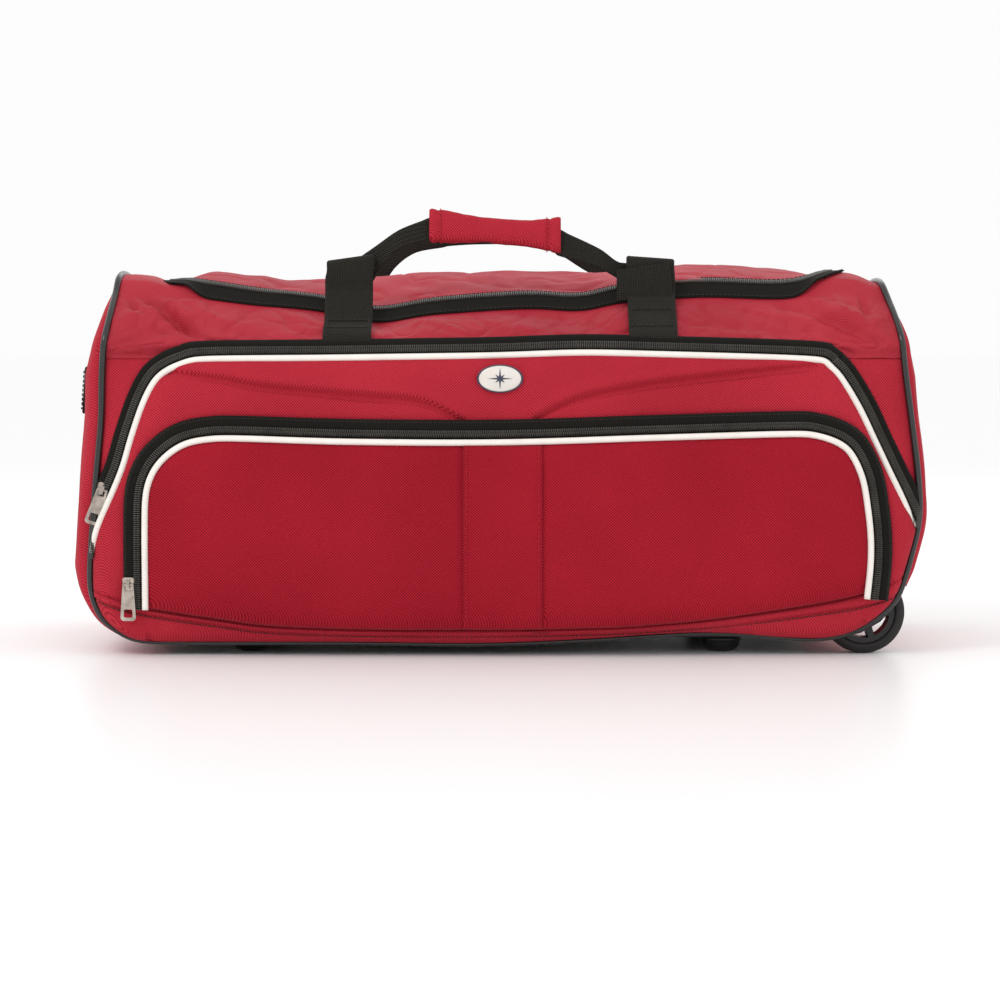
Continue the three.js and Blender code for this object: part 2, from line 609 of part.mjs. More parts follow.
// ---- Zip sliders and their pulls ----
// Built facing -Y with the pull hanging down -Z; the origin is the middle of the slider's back.
const pullAxisY = -SLIDER.thick - BRIDGE.reach / 2 + BRIDGE.play;
function sliderBody() {
  const headX = TAPE_WIDTH / 2 - SLIDER.margin;
  const footX = headX * SLIDER.taper;
  const headZ = SLIDER.height / 2;
  const body = solid(prismY(roundedOutline([
    [-footX, -headZ, SLIDER.footCurve],
    [footX, -headZ, SLIDER.footCurve],
    [headX, headZ, SLIDER.headCurve],
    [-headX, headZ, SLIDER.headCurve],
  ]), -SLIDER.thick, 0));
  const box = (rise, y0, y1) => points2([y0, -rise], [y1, -rise], [y1, rise], [y0, rise]);
  const frontY = -SLIDER.thick - BRIDGE.reach;
  const loop = box(BRIDGE.rise, frontY, -SLIDER.thick + BRIDGE.root);
  const hole = box(BRIDGE.rise - BRIDGE.wall, frontY + BRIDGE.wall, -SLIDER.thick - BRIDGE.air);
  const bridge = solid(prismX(loop, -BRIDGE.half, BRIDGE.half)).subtract(along(hole));
  return body.add(bridge);
}
function pullPlate() {
  const bottom = PULL.bar - PULL.length;
  const footX = TAPE_WIDTH / 2 - PULL.endMargin;
  const topX = TAPE_WIDTH / 2 - PULL.topMargin;
  const plate = roundedOutline([
    [-footX, bottom, PULL.endCurve],
    [footX, bottom, PULL.endCurve],
    [topX, PULL.bar, PULL.topCurve],
    [-topX, PULL.bar, PULL.topCurve],
  ]);
  const window = points2(
    [-PULL.rail, -PULL.bar - PULL.window],
    [PULL.rail, -PULL.bar - PULL.window],
    [PULL.rail, -PULL.bar],
    [-PULL.rail, -PULL.bar],
  );
  const eyeFoot = footX - EYE.margin;
  const eyeTop = footX - EYE.topMargin;
  const eye = roundedOutline([
    [-eyeFoot, bottom + EYE.margin, EYE.curve],
    [eyeFoot, bottom + EYE.margin, EYE.curve],
    [eyeTop, bottom + EYE.top, EYE.topCurve],
    [-eyeTop, bottom + EYE.top, EYE.topCurve],
  ]);
  return prismY(plate, pullAxisY - PULL.thick / 2, pullAxisY + PULL.thick / 2, [window, eye]);
}
function zipSlider(name, x, y, z, turn) {
  const group = new THREE.Group();
  group.position.set(x, y, z);
  group.rotation.copy(turn);
  place(`${name}_slider`, sliderBody(), NICKEL, group);
  place(`${name}_pull`, pullPlate(), NICKEL, group);
  bag.add(group);
}
const tapeMiddle = EDGE + TAPE_WIDTH / 2;
const legSlant = Math.atan2(OUTER_TOP_MARGIN - OUTER_SIDE_MARGIN, OUTER_TOP_Z - OUTER_SHOULDER_Z);
zipSlider(
  'outer_zip',
  -END_X + OUTER_SIDE_MARGIN
    - tapeMiddle / Math.cos(legSlant)
    + OUTER_SLIDER_LIFT * Math.tan(legSlant),
  onWall - TAPE_THICK - GAP,
  OUTER_SHOULDER_Z + OUTER_SLIDER_LIFT,
  new THREE.Euler(0, legSlant, 0),
);
zipSlider(
  'inner_zip',
  -END_X + INNER_SIDE_MARGIN - tapeMiddle,
  onPocket - TAPE_THICK - GAP,
  INNER_HINGE_Z + SLIDER.height,
  new THREE.Euler(0, 0, 0),
);
zipSlider(
  'main_zip',
  -LID_X - TAPE_WIDTH / 2 - half,
  RIM_BACK - 2 * SLIDER.height,
  RIM_Z + GAP,
  new THREE.Euler(-Math.PI / 2, 0, 0),
);

// The origin is the middle of the footprint, on the surface that the bag stands on.
const extent = new THREE.Box3().setFromObject(bag, true);
bag.position.x -= (extent.min.x + extent.max.x) / 2;
bag.position.y -= (extent.min.y + extent.max.y) / 2;

export default bag;
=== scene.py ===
import math

import bmesh
import bpy
import numpy as np
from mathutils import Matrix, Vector, noise


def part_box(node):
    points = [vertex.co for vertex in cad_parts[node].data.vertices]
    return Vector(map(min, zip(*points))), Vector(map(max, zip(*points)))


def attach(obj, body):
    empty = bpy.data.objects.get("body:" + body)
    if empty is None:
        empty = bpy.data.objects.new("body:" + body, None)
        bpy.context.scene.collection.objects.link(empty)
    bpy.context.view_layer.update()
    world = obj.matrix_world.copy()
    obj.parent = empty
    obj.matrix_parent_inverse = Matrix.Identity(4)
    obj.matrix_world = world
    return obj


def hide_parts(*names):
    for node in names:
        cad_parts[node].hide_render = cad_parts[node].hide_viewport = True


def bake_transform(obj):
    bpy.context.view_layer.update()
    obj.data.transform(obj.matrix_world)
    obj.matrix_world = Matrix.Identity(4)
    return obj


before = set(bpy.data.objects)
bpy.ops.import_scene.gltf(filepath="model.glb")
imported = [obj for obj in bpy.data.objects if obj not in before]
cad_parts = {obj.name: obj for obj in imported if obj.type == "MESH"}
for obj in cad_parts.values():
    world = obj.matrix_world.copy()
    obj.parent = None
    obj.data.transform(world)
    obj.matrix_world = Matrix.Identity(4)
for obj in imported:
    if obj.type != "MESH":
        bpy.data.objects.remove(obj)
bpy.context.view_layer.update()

MM = 0.001


# ---- Camera and stage ----
def add_camera():
    data = bpy.data.cameras.new("camera")
    data.lens = 101.9
    data.clip_end = 100
    camera = bpy.data.objects.new("camera", data)
    camera.location = (0.0014, -2.335, 0.2467)
    camera.rotation_euler = (math.radians(90 - 3.23), 0, 0)
    bpy.context.collection.objects.link(camera)
    bpy.context.scene.camera = camera


def add_light(name, place, aim, size, power):
    data = bpy.data.lights.new(name, "AREA")
    data.shape = "DISK"
    data.size = size
    data.energy = power
    light = bpy.data.objects.new(name, data)
    light.location = place
    light.rotation_euler = (Vector(aim) - Vector(place)).to_track_quat("-Z", "Y").to_euler()
    bpy.context.collection.objects.link(light)


add_camera()
add_light("key", (-1.2, -1.5, 1.9), (0, 0, 0.15), 0.9, 15)
add_light("fill", (1.8, -1.6, 1.0), (0, 0, 0.15), 1.6, 3)
add_light("back", (0.3, 1.9, 1.8), (0, 0, 0.2), 1.6, 5)
world = bpy.data.worlds.new("studio")
world.use_nodes = True
world.node_tree.nodes["Background"].inputs["Color"].default_value = (1, 1, 1, 1)
world.node_tree.nodes["Background"].inputs["Strength"].default_value = 0.98
bpy.context.scene.world = world
bpy.context.scene.view_settings.view_transform = "Standard"


# ---- Materials ----
def srgb(r, g, b):
    def linear(value):
        value /= 255
        return value / 12.92 if value <= 0.04045 else ((value + 0.055) / 1.055) ** 2.4
    return (linear(r), linear(g), linear(b), 1)


class Shader:
    """A material's nodes, joined by short calls."""

    def __init__(self, name, rough, metallic=0.0, sheen=0.0, coat=0.0, specular=0.5):
        self.material = bpy.data.materials.new(name)
        self.material.use_nodes = True
        self.tree = self.material.node_tree
        self.bsdf = self.tree.nodes["Principled BSDF"]
        self.bsdf.inputs["Roughness"].default_value = rough
        self.bsdf.inputs["Metallic"].default_value = metallic
        self.bsdf.inputs["Sheen Weight"].default_value = sheen
        self.bsdf.inputs["Sheen Roughness"].default_value = 0.4
        self.bsdf.inputs["Coat Weight"].default_value = coat
        self.bsdf.inputs["Coat Roughness"].default_value = 0.15
        self.bsdf.inputs["Specular IOR Level"].default_value = specular
        self.place = self.node("ShaderNodeTexCoord").outputs["Object"]

    def node(self, kind):
        return self.tree.nodes.new(kind)

    def join(self, source, target):
        if hasattr(source, "links"):
            self.tree.links.new(source, target)
        else:
            target.default_value = source

    def math(self, operation, a, b=0.0, c=0.0):
        node = self.node("ShaderNodeMath")
        node.operation = operation
        for value, socket in zip((a, b, c), node.inputs):
            self.join(value, socket)
        return node.outputs[0]

    def noise(self, scale, detail=2.0):
        node = self.node("ShaderNodeTexNoise")
        node.inputs["Scale"].default_value = scale
        node.inputs["Detail"].default_value = detail
        self.join(self.place, node.inputs["Vector"])
        return node.outputs["Fac"]

    def mix(self, factor, a, b):
        node = self.node("ShaderNodeMix")
        node.data_type = "RGBA"
        self.join(factor, node.inputs["Factor"])
        self.join(a, node.inputs["A"])
        self.join(b, node.inputs["B"])
        return node.outputs["Result"]

    def axes(self):
        """Two directions in the cloth: along it and up it, on faces that look any way."""
        split = self.node("ShaderNodeSeparateXYZ")
        self.join(self.place, split.inputs[0])
        x, y, z = split.outputs
        return self.math("MULTIPLY_ADD", y, 0.83, x), self.math("MULTIPLY_ADD", y, 0.71, z)

    def wave(self, along, pitch):
        return self.math("SINE", self.math("MULTIPLY", along, 2 * math.pi / (pitch * MM)))

    def colour(self, socket):
        self.join(socket, self.bsdf.inputs["Base Color"])

    def bump(self, height, strength, depth):
        node = self.node("ShaderNodeBump")
        node.inputs["Strength"].default_value = strength
        node.inputs["Distance"].default_value = depth * MM
        self.join(height, node.inputs["Height"])
        self.join(node.outputs["Normal"], self.bsdf.inputs["Normal"])


def woven(name, dark, light, rough, pitch, depth, patch=0.2, specular=0.08):
    """Polyester cloth: small raised threads in offset rows, fibre grain and slow changes of shade."""
    s = Shader(name, rough, sheen=0.04, specular=specular)
    u, v = s.axes()
    threads = s.math("MULTIPLY", s.wave(u, pitch), s.wave(v, pitch))
    grain = s.noise(1400, 3)
    height = s.math("MULTIPLY_ADD", grain, 0.7, s.math("MULTIPLY", threads, 0.5))
    patches = s.math("MULTIPLY_ADD", s.noise(7, 3), patch * 2, 0.5 - patch)
    shade = s.math("MULTIPLY_ADD", threads, 0.42, patches)
    shade = s.math("MULTIPLY_ADD", grain, 0.5, s.math("SUBTRACT", shade, 0.25))
    clamp = s.math("MINIMUM", s.math("MAXIMUM", shade, 0.0), 1.0)
    s.colour(s.mix(clamp, srgb(*dark), srgb(*light)))
    s.bump(height, 0.6, depth)
    return s.material


def webbing(name):
    """Ribbed black webbing: cross ribs broken by the lengthways yarns."""
    s = Shader(name, 0.8, sheen=0.03, specular=0.2)
    u, v = s.axes()
    yarns = s.math("MULTIPLY", s.wave(u, 2.1), s.wave(v, 1.9))
    grain = s.noise(1800, 3)
    fleck = s.math("MULTIPLY_ADD", yarns, 0.6, s.math("MULTIPLY_ADD", grain, 0.7, -0.15))
    s.colour(s.mix(fleck, srgb(6, 6, 5), srgb(76, 72, 63)))
    s.bump(s.math("MULTIPLY_ADD", grain, 0.5, yarns), 0.7, 0.5)
    return s.material


def smooth_plastic(name, dark, light, rough, coat=0.0, grain_scale=350, depth=0.05):
    s = Shader(name, rough, coat=coat)
    s.colour(s.mix(s.noise(60, 4), srgb(*dark), srgb(*light)))
    s.bump(s.noise(grain_scale, 3), 0.4, depth)
    return s.material


def metal(name, dark, light, rough):
    s = Shader(name, rough, metallic=1.0)
    s.colour(s.mix(s.noise(180, 4), srgb(*dark), srgb(*light)))
    s.bump(s.noise(900, 3), 0.25, 0.04)
    return s.material


PANEL = woven("panel_cloth", (112, 2, 20), (216, 58, 74), 0.8, 2.2, 0.5)
POCKET = woven("pocket_cloth", (84, 0, 12), (196, 38, 56), 0.85, 2.2, 0.5)
THIN = woven("thin_cloth", (112, 4, 22), (204, 54, 70), 0.6, 1.5, 0.12, patch=0.3, specular=0.2)
LINING = woven("lining_cloth", (26, 25, 24), (52, 50, 48), 0.85, 1.5, 0.2)
BASE = woven("base_cloth", (8, 8, 9), (30, 29, 28), 0.85, 2.0, 0.4)
TAPE = woven("zip_tape_cloth", (6, 6, 5), (38, 36, 32), 0.75, 1.0, 0.2)
WEB = webbing("webbing")
GLOSS = smooth_plastic("edge_piping", (8, 7, 7), (24, 22, 21), 0.3, coat=0.3)
WHITE = smooth_plastic("white_piping", (226, 220, 212), (248, 243, 236), 0.42, coat=0.15)
COIL = smooth_plastic("zip_coil", (14, 13, 12), (84, 80, 72), 0.3)
PLASTIC = smooth_plastic("moulded_plastic", (4, 4, 4), (16, 15, 15), 0.4)
RUBBER = smooth_plastic("tyre_rubber", (14, 12, 12), (34, 31, 30), 0.7, grain_scale=700, depth=0.15)
BOARD = smooth_plastic("board", (34, 32, 30), (54, 52, 48), 0.85)
ENAMEL = smooth_plastic("badge_enamel", (206, 200, 192), (234, 228, 220), 0.25, coat=0.8)
INK = smooth_plastic("badge_ink", (24, 30, 54), (40, 46, 72), 0.35, coat=0.5)
NICKEL = metal("nickel", (84, 76, 70), (222, 208, 196), 0.16)
STEEL = metal("steel", (110, 110, 112), (170, 170, 172), 0.4)
THREAD = woven("red_thread", (132, 8, 26), (206, 56, 72), 0.7, 0.8, 0.1)
BLACK_THREAD = woven("black_thread", (24, 22, 20), (70, 66, 60), 0.6, 0.8, 0.1)


def add_floor():
    s = Shader("floor", 0.35, specular=0.3)
    s.colour(s.mix(s.noise(3, 2), srgb(252, 252, 252), srgb(254, 254, 254)))
    mesh = bpy.data.meshes.new("floor")
    corners = [(-40, -40, 0), (40, -40, 0), (40, 40, 0), (-40, 40, 0)]
    mesh.from_pydata(corners, [], [(0, 1, 2, 3)])
    mesh.materials.append(s.material)
    floor = bpy.data.objects.new("floor", mesh)
    bpy.context.collection.objects.link(floor)


add_floor()


# ---- Lines, in millimetres ----
def lengths(line):
    return np.concatenate([[0], np.cumsum(np.linalg.norm(np.diff(line, axis=0), axis=1))])


def resample(line, spacing):
    """The same line with evenly spaced points."""
    line = np.asarray(line, float)
    run = lengths(line)
    count = max(3, int(round(run[-1] / spacing)) + 1)
    places = np.linspace(0, run[-1], count)
    return np.stack([np.interp(places, run, line[:, k]) for k in range(line.shape[1])], axis=1)


def soften(line, times=4):
    line = line.copy()
    for _ in range(times):
        line[1:-1] = 0.25 * line[:-2] + 0.5 * line[1:-1] + 0.25 * line[2:]
    return line


def catmull(a, b, c, d, t):
    """A smooth curve from b to c as t goes 0..1, a and d being the places beyond them."""
    return 0.5 * (2 * b + (c - a) * t + (2 * a - 5 * b + 4 * c - d) * t**2 + (3 * b - a - 3 * c + d) * t**3)


def spline(points, spacing):
    """A smooth line through given points."""
    points = np.asarray(points, float)
    padded = np.vstack([2 * points[0] - points[1], points, 2 * points[-1] - points[-2]])
    t = np.linspace(0, 1, 12, endpoint=False)[:, None]
    pieces = [catmull(*four, t) for four in zip(padded, padded[1:], padded[2:], padded[3:])]
    return resample(np.vstack(pieces + [points[-1:]]), spacing)


def height_line(*points):
    """A smooth height along x from a few [x, z] pairs."""
    line = spline(points, 2.0)
    return lambda x: np.interp(x, line[:, 0], line[:, 1])


def unit(vectors):
    """The same directions, each with length one."""
    return vectors / np.linalg.norm(vectors, axis=-1, keepdims=True)


def sideways(line):
    """Unit normals of a flat line, to the left of its direction."""
    step = np.gradient(line, axis=0)
    return unit(np.stack([-step[:, 1], step[:, 0]], axis=1))


def distance(points, line):
    """How far each flat point is from a chain of points."""
    best = np.full(len(points), 1e9)
    for a, b in zip(line[:-1], line[1:]):
        step = b - a
        t = np.clip(((points - a) @ step) / max(step @ step, 1e-9), 0, 1)
        best = np.minimum(best, np.linalg.norm(points - a - t[:, None] * step, axis=1))
    return best


def crumple(points, scale, octaves=3, seed=0.0):
    """Smooth noise in about -1..1 at each point."""
    shift = Vector((seed, seed * 0.7, -seed))
    return np.array([noise.fractal(Vector(p) * scale + shift, 0.9, 2.0, octaves) for p in points])


# ---- Meshes ----
def add_mesh(name, points, faces, material, smooth=True):
    mesh = bpy.data.meshes.new(name)
    mesh.from_pydata([tuple(p) for p in np.asarray(points) * MM], [], faces)
    mesh.materials.append(material)
    mesh.polygons.foreach_set("use_smooth", [smooth] * len(mesh.polygons))
    mesh.update()
    piece = bpy.data.objects.new(name, mesh)
    bpy.context.collection.objects.link(piece)
    return piece


def grid_faces(rows, columns):
    index = np.arange(rows * columns).reshape(rows, columns)
    corners = [index[:-1, :-1], index[:-1, 1:], index[1:, 1:], index[1:, :-1]]
    return np.stack(corners, axis=-1).reshape(-1, 4)


def facing(surface):
    normal = np.cross(np.gradient(surface, axis=1), np.gradient(surface, axis=0))
    return normal / np.maximum(np.linalg.norm(normal, axis=2, keepdims=True), 1e-9)


def cloth(name, surface, material, thick=1.2, lined=False):
    """A sheet with thickness from rows of points, its outer side where columns x rows faces."""
    rows, columns = surface.shape[:2]
    count = rows * columns
    inner = surface - facing(surface) * thick
    points = np.vstack([surface.reshape(-1, 3), inner.reshape(-1, 3)])
    outer = grid_faces(rows, columns)
    edges = {}
    for face in outer:
        for a, b in zip(face, np.roll(face, -1)):
            if (b, a) in edges:
                del edges[(b, a)]
            else:
                edges[(a, b)] = True
    faces = [tuple(f) for f in outer] + [tuple(f[::-1] + count) for f in outer]
    faces += [(b, a, a + count, b + count) for a, b in edges]
    piece = add_mesh(name, points, faces, material)
    if lined:
        piece.data.materials.append(LINING)
        sides = [0] * len(outer) + [1] * len(outer) + [0] * len(edges)
        piece.data.polygons.foreach_set("material_index", sides)
    cleaned = bmesh.new()
    cleaned.from_mesh(piece.data)
    loose = [v for v in cleaned.verts if not v.link_faces]
    bmesh.ops.delete(cleaned, geom=loose, context="VERTS")
    bmesh.ops.recalc_face_normals(cleaned, faces=cleaned.faces)
    cleaned.to_mesh(piece.data)
    cleaned.free()
    return piece


def frames_along(path, normals):
    """Unit directions along a path, across it and out of it."""
    step = unit(np.gradient(path, axis=0))
    side = unit(np.cross(step, normals))
    return step, side, np.cross(side, step)


def tube_faces(rings, count, closed=False, capped=True):
    """Faces between rings of count points each, back to the first ring when closed."""
    faces = []
    for i in range(rings if closed else rings - 1):
        here, after = i * count, (i + 1) % rings * count
        for k in range(count):
            l = (k + 1) % count
            faces.append((here + k, here + l, after + l, after + k))
    if capped:
        faces.append(tuple(range(count))[::-1])
        faces.append(tuple((rings - 1) * count + k for k in range(count)))
    return faces


def solid(name, points, faces, material, smooth=True, merge=False):
    """A closed mesh with every face looking outwards; merge joins the points that coincide."""
    piece = add_mesh(name, points, faces, material, smooth)
    shape = bmesh.new()
    shape.from_mesh(piece.data)
    if merge:
        bmesh.ops.remove_doubles(shape, verts=shape.verts, dist=1e-6)
    bmesh.ops.recalc_face_normals(shape, faces=shape.faces)
    shape.to_mesh(piece.data)
    shape.free()
    return piece


def sweep(name, path, normals, section, material):
    """A section of [sideways, outwards] pairs carried along a path."""
    _, side, out = frames_along(path, normals)
    if section.ndim == 2:
        section = np.broadcast_to(section, (len(path),) + section.shape)
    points = path[:, None] + section[:, :, :1] * side[:, None] + section[:, :, 1:] * out[:, None]
    return solid(name, points.reshape(-1, 3), tube_faces(*points.shape[:2]), material)


def turns(count):
    """Angles evenly round a circle."""
    return np.arange(count) / count * 2 * math.pi


def ring(radius):
    angle = turns(12)
    return np.stack([radius * np.cos(angle), radius * np.sin(angle)], axis=1)


def flat_section(width, thick, across):
    """A flat strap's section with rounded edges."""
    half = width / 2
    xs = np.linspace(-half + thick / 2, half - thick / 2, across)
    top = [(x, thick / 2) for x in xs[::-1]]
    bottom = [(x, -thick / 2) for x in xs]
    return np.array([(-half, 0)] + bottom + [(half, 0)] + top)


def many(name, bits, material):
    """One piece made of many small closed bits, each given by its points and faces."""
    points, faces, start = [], [], 0
    for bit_points, bit_faces in bits:
        points.append(bit_points)
        faces += [tuple(i + start for i in face) for face in bit_faces]
        start += len(bit_points)
    return solid(name, np.vstack(points), faces, material)


def bar(centre, along, side, out, half_length, half_width, half_height):
    """A small bar with a narrower top."""
    points = []
    for height, share in ((-1, 1.0), (0.4, 1.0), (1, 0.55)):
        for a, b in ((-1, -1), (1, -1), (1, 1), (-1, 1)):
            points.append(centre + along * a * half_width * share
                          + side * b * half_length * (0.75 + 0.25 * share) + out * height * half_height)
    return np.array(points), tube_faces(3, 4)


STITCH_PITCH, STITCH_LENGTH = 3.6, 2.6


def stitches(name, path, normals, material, size=0.35, lift=0.1):
    """A row of sewn stitches, each a short rounded bar lying on the cloth."""
    line = resample(np.hstack([path, np.broadcast_to(normals, path.shape)]), STITCH_PITCH)
    path = line[:, :3]
    bits = [bar(p + o * lift, t, s, o, size, STITCH_LENGTH / 2, size)
            for p, t, s, o in zip(path, *frames_along(path, line[:, 3:]))]
    return many(name, bits, material)


def assign(piece, body=None, nodes=()):
    """Attaches a piece to the body it rides, when one is given, and hides the CAD nodes it stands for."""
    if body:
        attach(piece, body)
    if nodes:
        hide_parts(*nodes)


def bevelled(node, material, width=0.35):
    """A CAD piece with softened edges and its finish."""
    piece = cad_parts[node]
    piece.data.materials.clear()
    piece.data.materials.append(material)
    bevel = piece.modifiers.new("softened", "BEVEL")
    bevel.width = width * MM
    bevel.segments = 2
    bevel.limit_method = "ANGLE"
    bevel.angle_limit = math.radians(40)
    return piece


# ---- The bag's shape ----
def box_mm(node):
    """A CAD piece's lowest and highest corners."""
    return np.array([list(corner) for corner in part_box(node)]) / MM


FRONT_Y = box_mm("front_wall")[0, 1]
BACK_Y = box_mm("back_panel")[1, 1]
POCKET_Y = box_mm("outer_pocket_panel")[0, 1]
INNER_Y = box_mm("inner_pocket_panel")[0, 1]
LID_FRONT, LID_BACK = box_mm("lid_panel")[:, 1]
WHEEL_Z = box_mm("tyre_front")[1, 2] / 2
WHEEL_X = box_mm("tyre_front")[1, 0] - WHEEL_Z
SEAM_Z = 233                       # where the thin top cloth meets the walls
SHOULDER_Z = 252                   # and where it bends over
HINGE_Z = 289.5                    # the lid's back edge
MIDDLE_Y = (FRONT_Y + BACK_Y) / 2
FRONT = (0, -1.0, 0)               # the way the front faces

FLOOR_Z = 9.6                      # the piping's centre along the lower front edge
EYE_X, EYE_Z = 1.4, 246.7          # the camera's place, across and up
POCKET_PLANE, EYE_RANGE = -135, 2200   # y that the front view was measured at, and how far the camera stands off it
SHIFT_X = 4.15                     # x of the place that the front view was measured from


def seen(points, y):
    """Places [x, z] read off the front view, carried back to the depth y."""
    grow = (EYE_RANGE + y - POCKET_PLANE) / EYE_RANGE
    points = np.asarray(points, float) + [SHIFT_X, 0]
    return (points - [EYE_X, EYE_Z]) * grow + [EYE_X, EYE_Z]


def inset(line, amount):
    return line + sideways(line) * amount


outline = soften(inset(spline(seen([
    (-306.5, 299), (-309, 266), (-313, 229), (-314.5, 184.5), (-319, 135), (-322, 97), (-324, 59), (-321, 43),
    (-314, 28), (-300, 16), (-287, 10.5), (-263, 8.7), (-190, 8.6), (-119, 8.5), (-18, 7.6), (60, 10.5),
    (114, 14), (154, 16), (188, 15), (218, 12.4), (247.5, 11.4), (272, 16.5), (289, 26), (305.6, 41),
    (313, 57), (319, 78), (325.3, 108), (325, 132), (322, 161), (314, 220), (308.6, 261), (300, 299),
], FRONT_Y), 3), 2.6), 3)
lift_line = spline([
    (-340, 0), (-260, 0), (-119, 0), (-18, -0.8), (60, 2.1), (114, 5.6), (154, 7.6), (188, 6.6),
    (218, 4.0), (247, 2.6), (272, 1.2), (295, 0), (340, 0),
], 3)
LIFT_REACH = 50                    # how high up the cloth the lower edge's rise is felt


def base_lift(x):
    """How far the bag's lower front edge rises along its length."""
    return np.interp(x, lift_line[:, 0], lift_line[:, 1])


def place_front(x, z):
    """Lifts flat places to the bag's slightly wavy lower edge."""
    return z + base_lift(x) * np.clip(1 - (z - FLOOR_Z) / LIFT_REACH, 0, 1)


def levelled(line):
    """A side of the outline as it would be over a straight lower edge, upwards."""
    x, z = line.T
    lift = base_lift(x)
    flat = (z - lift * (1 + FLOOR_Z / LIFT_REACH)) / (1 - lift / LIFT_REACH)
    flat = np.where(flat < FLOOR_Z + LIFT_REACH, flat, z)
    line = np.stack([x, np.maximum(flat, FLOOR_Z)], axis=1)
    return line[np.argsort(line[:, 1], kind="stable")]


LEFT_TURN, RIGHT_TURN = -262, 246  # where the lower edge starts to turn up into the sides
left_half = outline[outline[:, 0] < LEFT_TURN]
right_half = outline[outline[:, 0] > RIGHT_TURN]
left_side, right_side = levelled(left_half), levelled(right_half)


def edge_left(z):
    return np.interp(z, left_side[:, 1], left_side[:, 0])


def edge_right(z):
    return np.interp(z, right_side[:, 1], right_side[:, 0])


zip_height = height_line(
    (-310, 296), (-280, 295), (-262, 291), (-240, 292), (-190, 285), (-143, 280), (-97, 270.5), (-50, 277.5),
    (20, 282.5), (65, 281), (100, 288), (160, 293), (225, 291.5), (262, 297), (285, 296), (303, 290),
    (314, 293),
)
crown_height = height_line(
    (-310, 297.5), (-282, 296.5), (-264, 290.5), (-250, 296), (-232, 303), (-197, 300), (-173, 294),
    (-143, 296), (-86, 300), (-10, 303.5), (54, 302.5), (100, 305.5), (160, 309), (233, 305), (256, 299),
    (285, 298), (303, 291.5), (314, 294),
)
DIP, DIP_RUN = 14, 0.2             # how far the cloth sinks just before the zip, and over how much of w


def top_surface(x, w):
    """The top cloth. w runs 0..6: front seam, 1 shoulder, 2 zip, 3 crown, 4 hinge, 5 shoulder, 6 back seam."""
    x, w = np.broadcast_arrays(np.asarray(x, float), np.asarray(w, float))
    one = np.ones_like(x)
    knots_y = [FRONT_Y, FRONT_Y + 1.2, LID_FRONT - 4, MIDDLE_Y, LID_BACK, BACK_Y - 1.2, BACK_Y]
    knots_z = [SEAM_Z * one, SHOULDER_Z * one, zip_height(x), crown_height(x),
               HINGE_Z * one, SHOULDER_Z * one, SEAM_Z * one]
    span = np.clip(w.astype(int), 0, 5)
    result = []
    for knots in ([one * y for y in knots_y], knots_z):
        stack = np.stack([2 * knots[0] - knots[1]] + knots + [2 * knots[-1] - knots[-2]])
        four = (np.take_along_axis(stack, (span + k)[None], 0)[0] for k in range(4))
        result.append(catmull(*four, w - span))
    before_zip = np.maximum(2 - w, 0) / DIP_RUN
    dip = DIP * (1 - np.exp(-(before_zip ** 2))) * np.exp(-before_zip / 2)
    return np.stack([x, result[0], result[1] - dip], axis=-1)


def fold(points, start, end, width, depth):
    """A soft crease seen from the front, from start to end [x, z]: below zero is a valley."""
    a, b = np.array(start, float), np.array(end, float)
    flat = points[:, [0, 2]]
    step = b - a
    t = np.clip(((flat - a) @ step) / (step @ step), 0, 1)
    away = np.linalg.norm(flat - a - t[:, None] * step, axis=1)
    return 1.5 * depth * np.exp(-((away / width) ** 2)) * np.sin(math.pi * (0.12 + 0.76 * t)) ** 0.5


def wrinkled(surface, amount, scale, seed, folds=(), pinned=None, creases=0.0):
    """Pushes a sheet along its facing by noise, sharp creases and folds, less near its pinned rim."""
    normal = facing(surface)
    flat = surface.reshape(-1, 3)
    push = crumple(flat * MM, scale, 3, seed) * amount
    if creases:
        lean = flat * MM @ np.array([[1, 0, 0.5], [0, 1, 0], [-0.9, 0, 1.6]])
        push -= creases * np.exp(-((crumple(lean, scale * 0.8, 2, seed + 5) / 0.1) ** 2))
        push -= creases * 0.6 * np.exp(-((crumple(lean, scale * 1.7, 2, seed + 9) / 0.1) ** 2))
    for one in folds:
        push = push + fold(flat, *one)
    push = push.reshape(surface.shape[:2])
    if pinned is not None:
        push = push * pinned
    return surface + normal * push[..., None]


def rim_fade(rows, columns, up=0.12, across=0.04):
    """1 in the middle of a sheet, falling to 0 at its rim."""
    v = np.linspace(0, 1, rows)[:, None]
    u = np.linspace(0, 1, columns)[None]
    def fade(t, share):
        return np.clip(np.minimum(t, 1 - t) / share, 0, 1)
    return np.sqrt(fade(v, up) * fade(u, across))


def edge_x(w, side):
    """Where the top cloth meets an end panel."""
    z = top_surface(side * 300, w)[..., 2]
    return edge_left(z) if side < 0 else edge_right(z)


# ---- Top cloth and lid ----
ZIP_LEFT = box_mm("main_zip_slider")[:, 0].sum() / 2
ZIP_RIGHT = 267
ZIP_CORNER = 34
ZIP_SPAN = 81                      # cloth length for one unit of w behind the zip
FRONT_SPAN = 61                    # the same before the zip
ZIP_END_W = 3.96
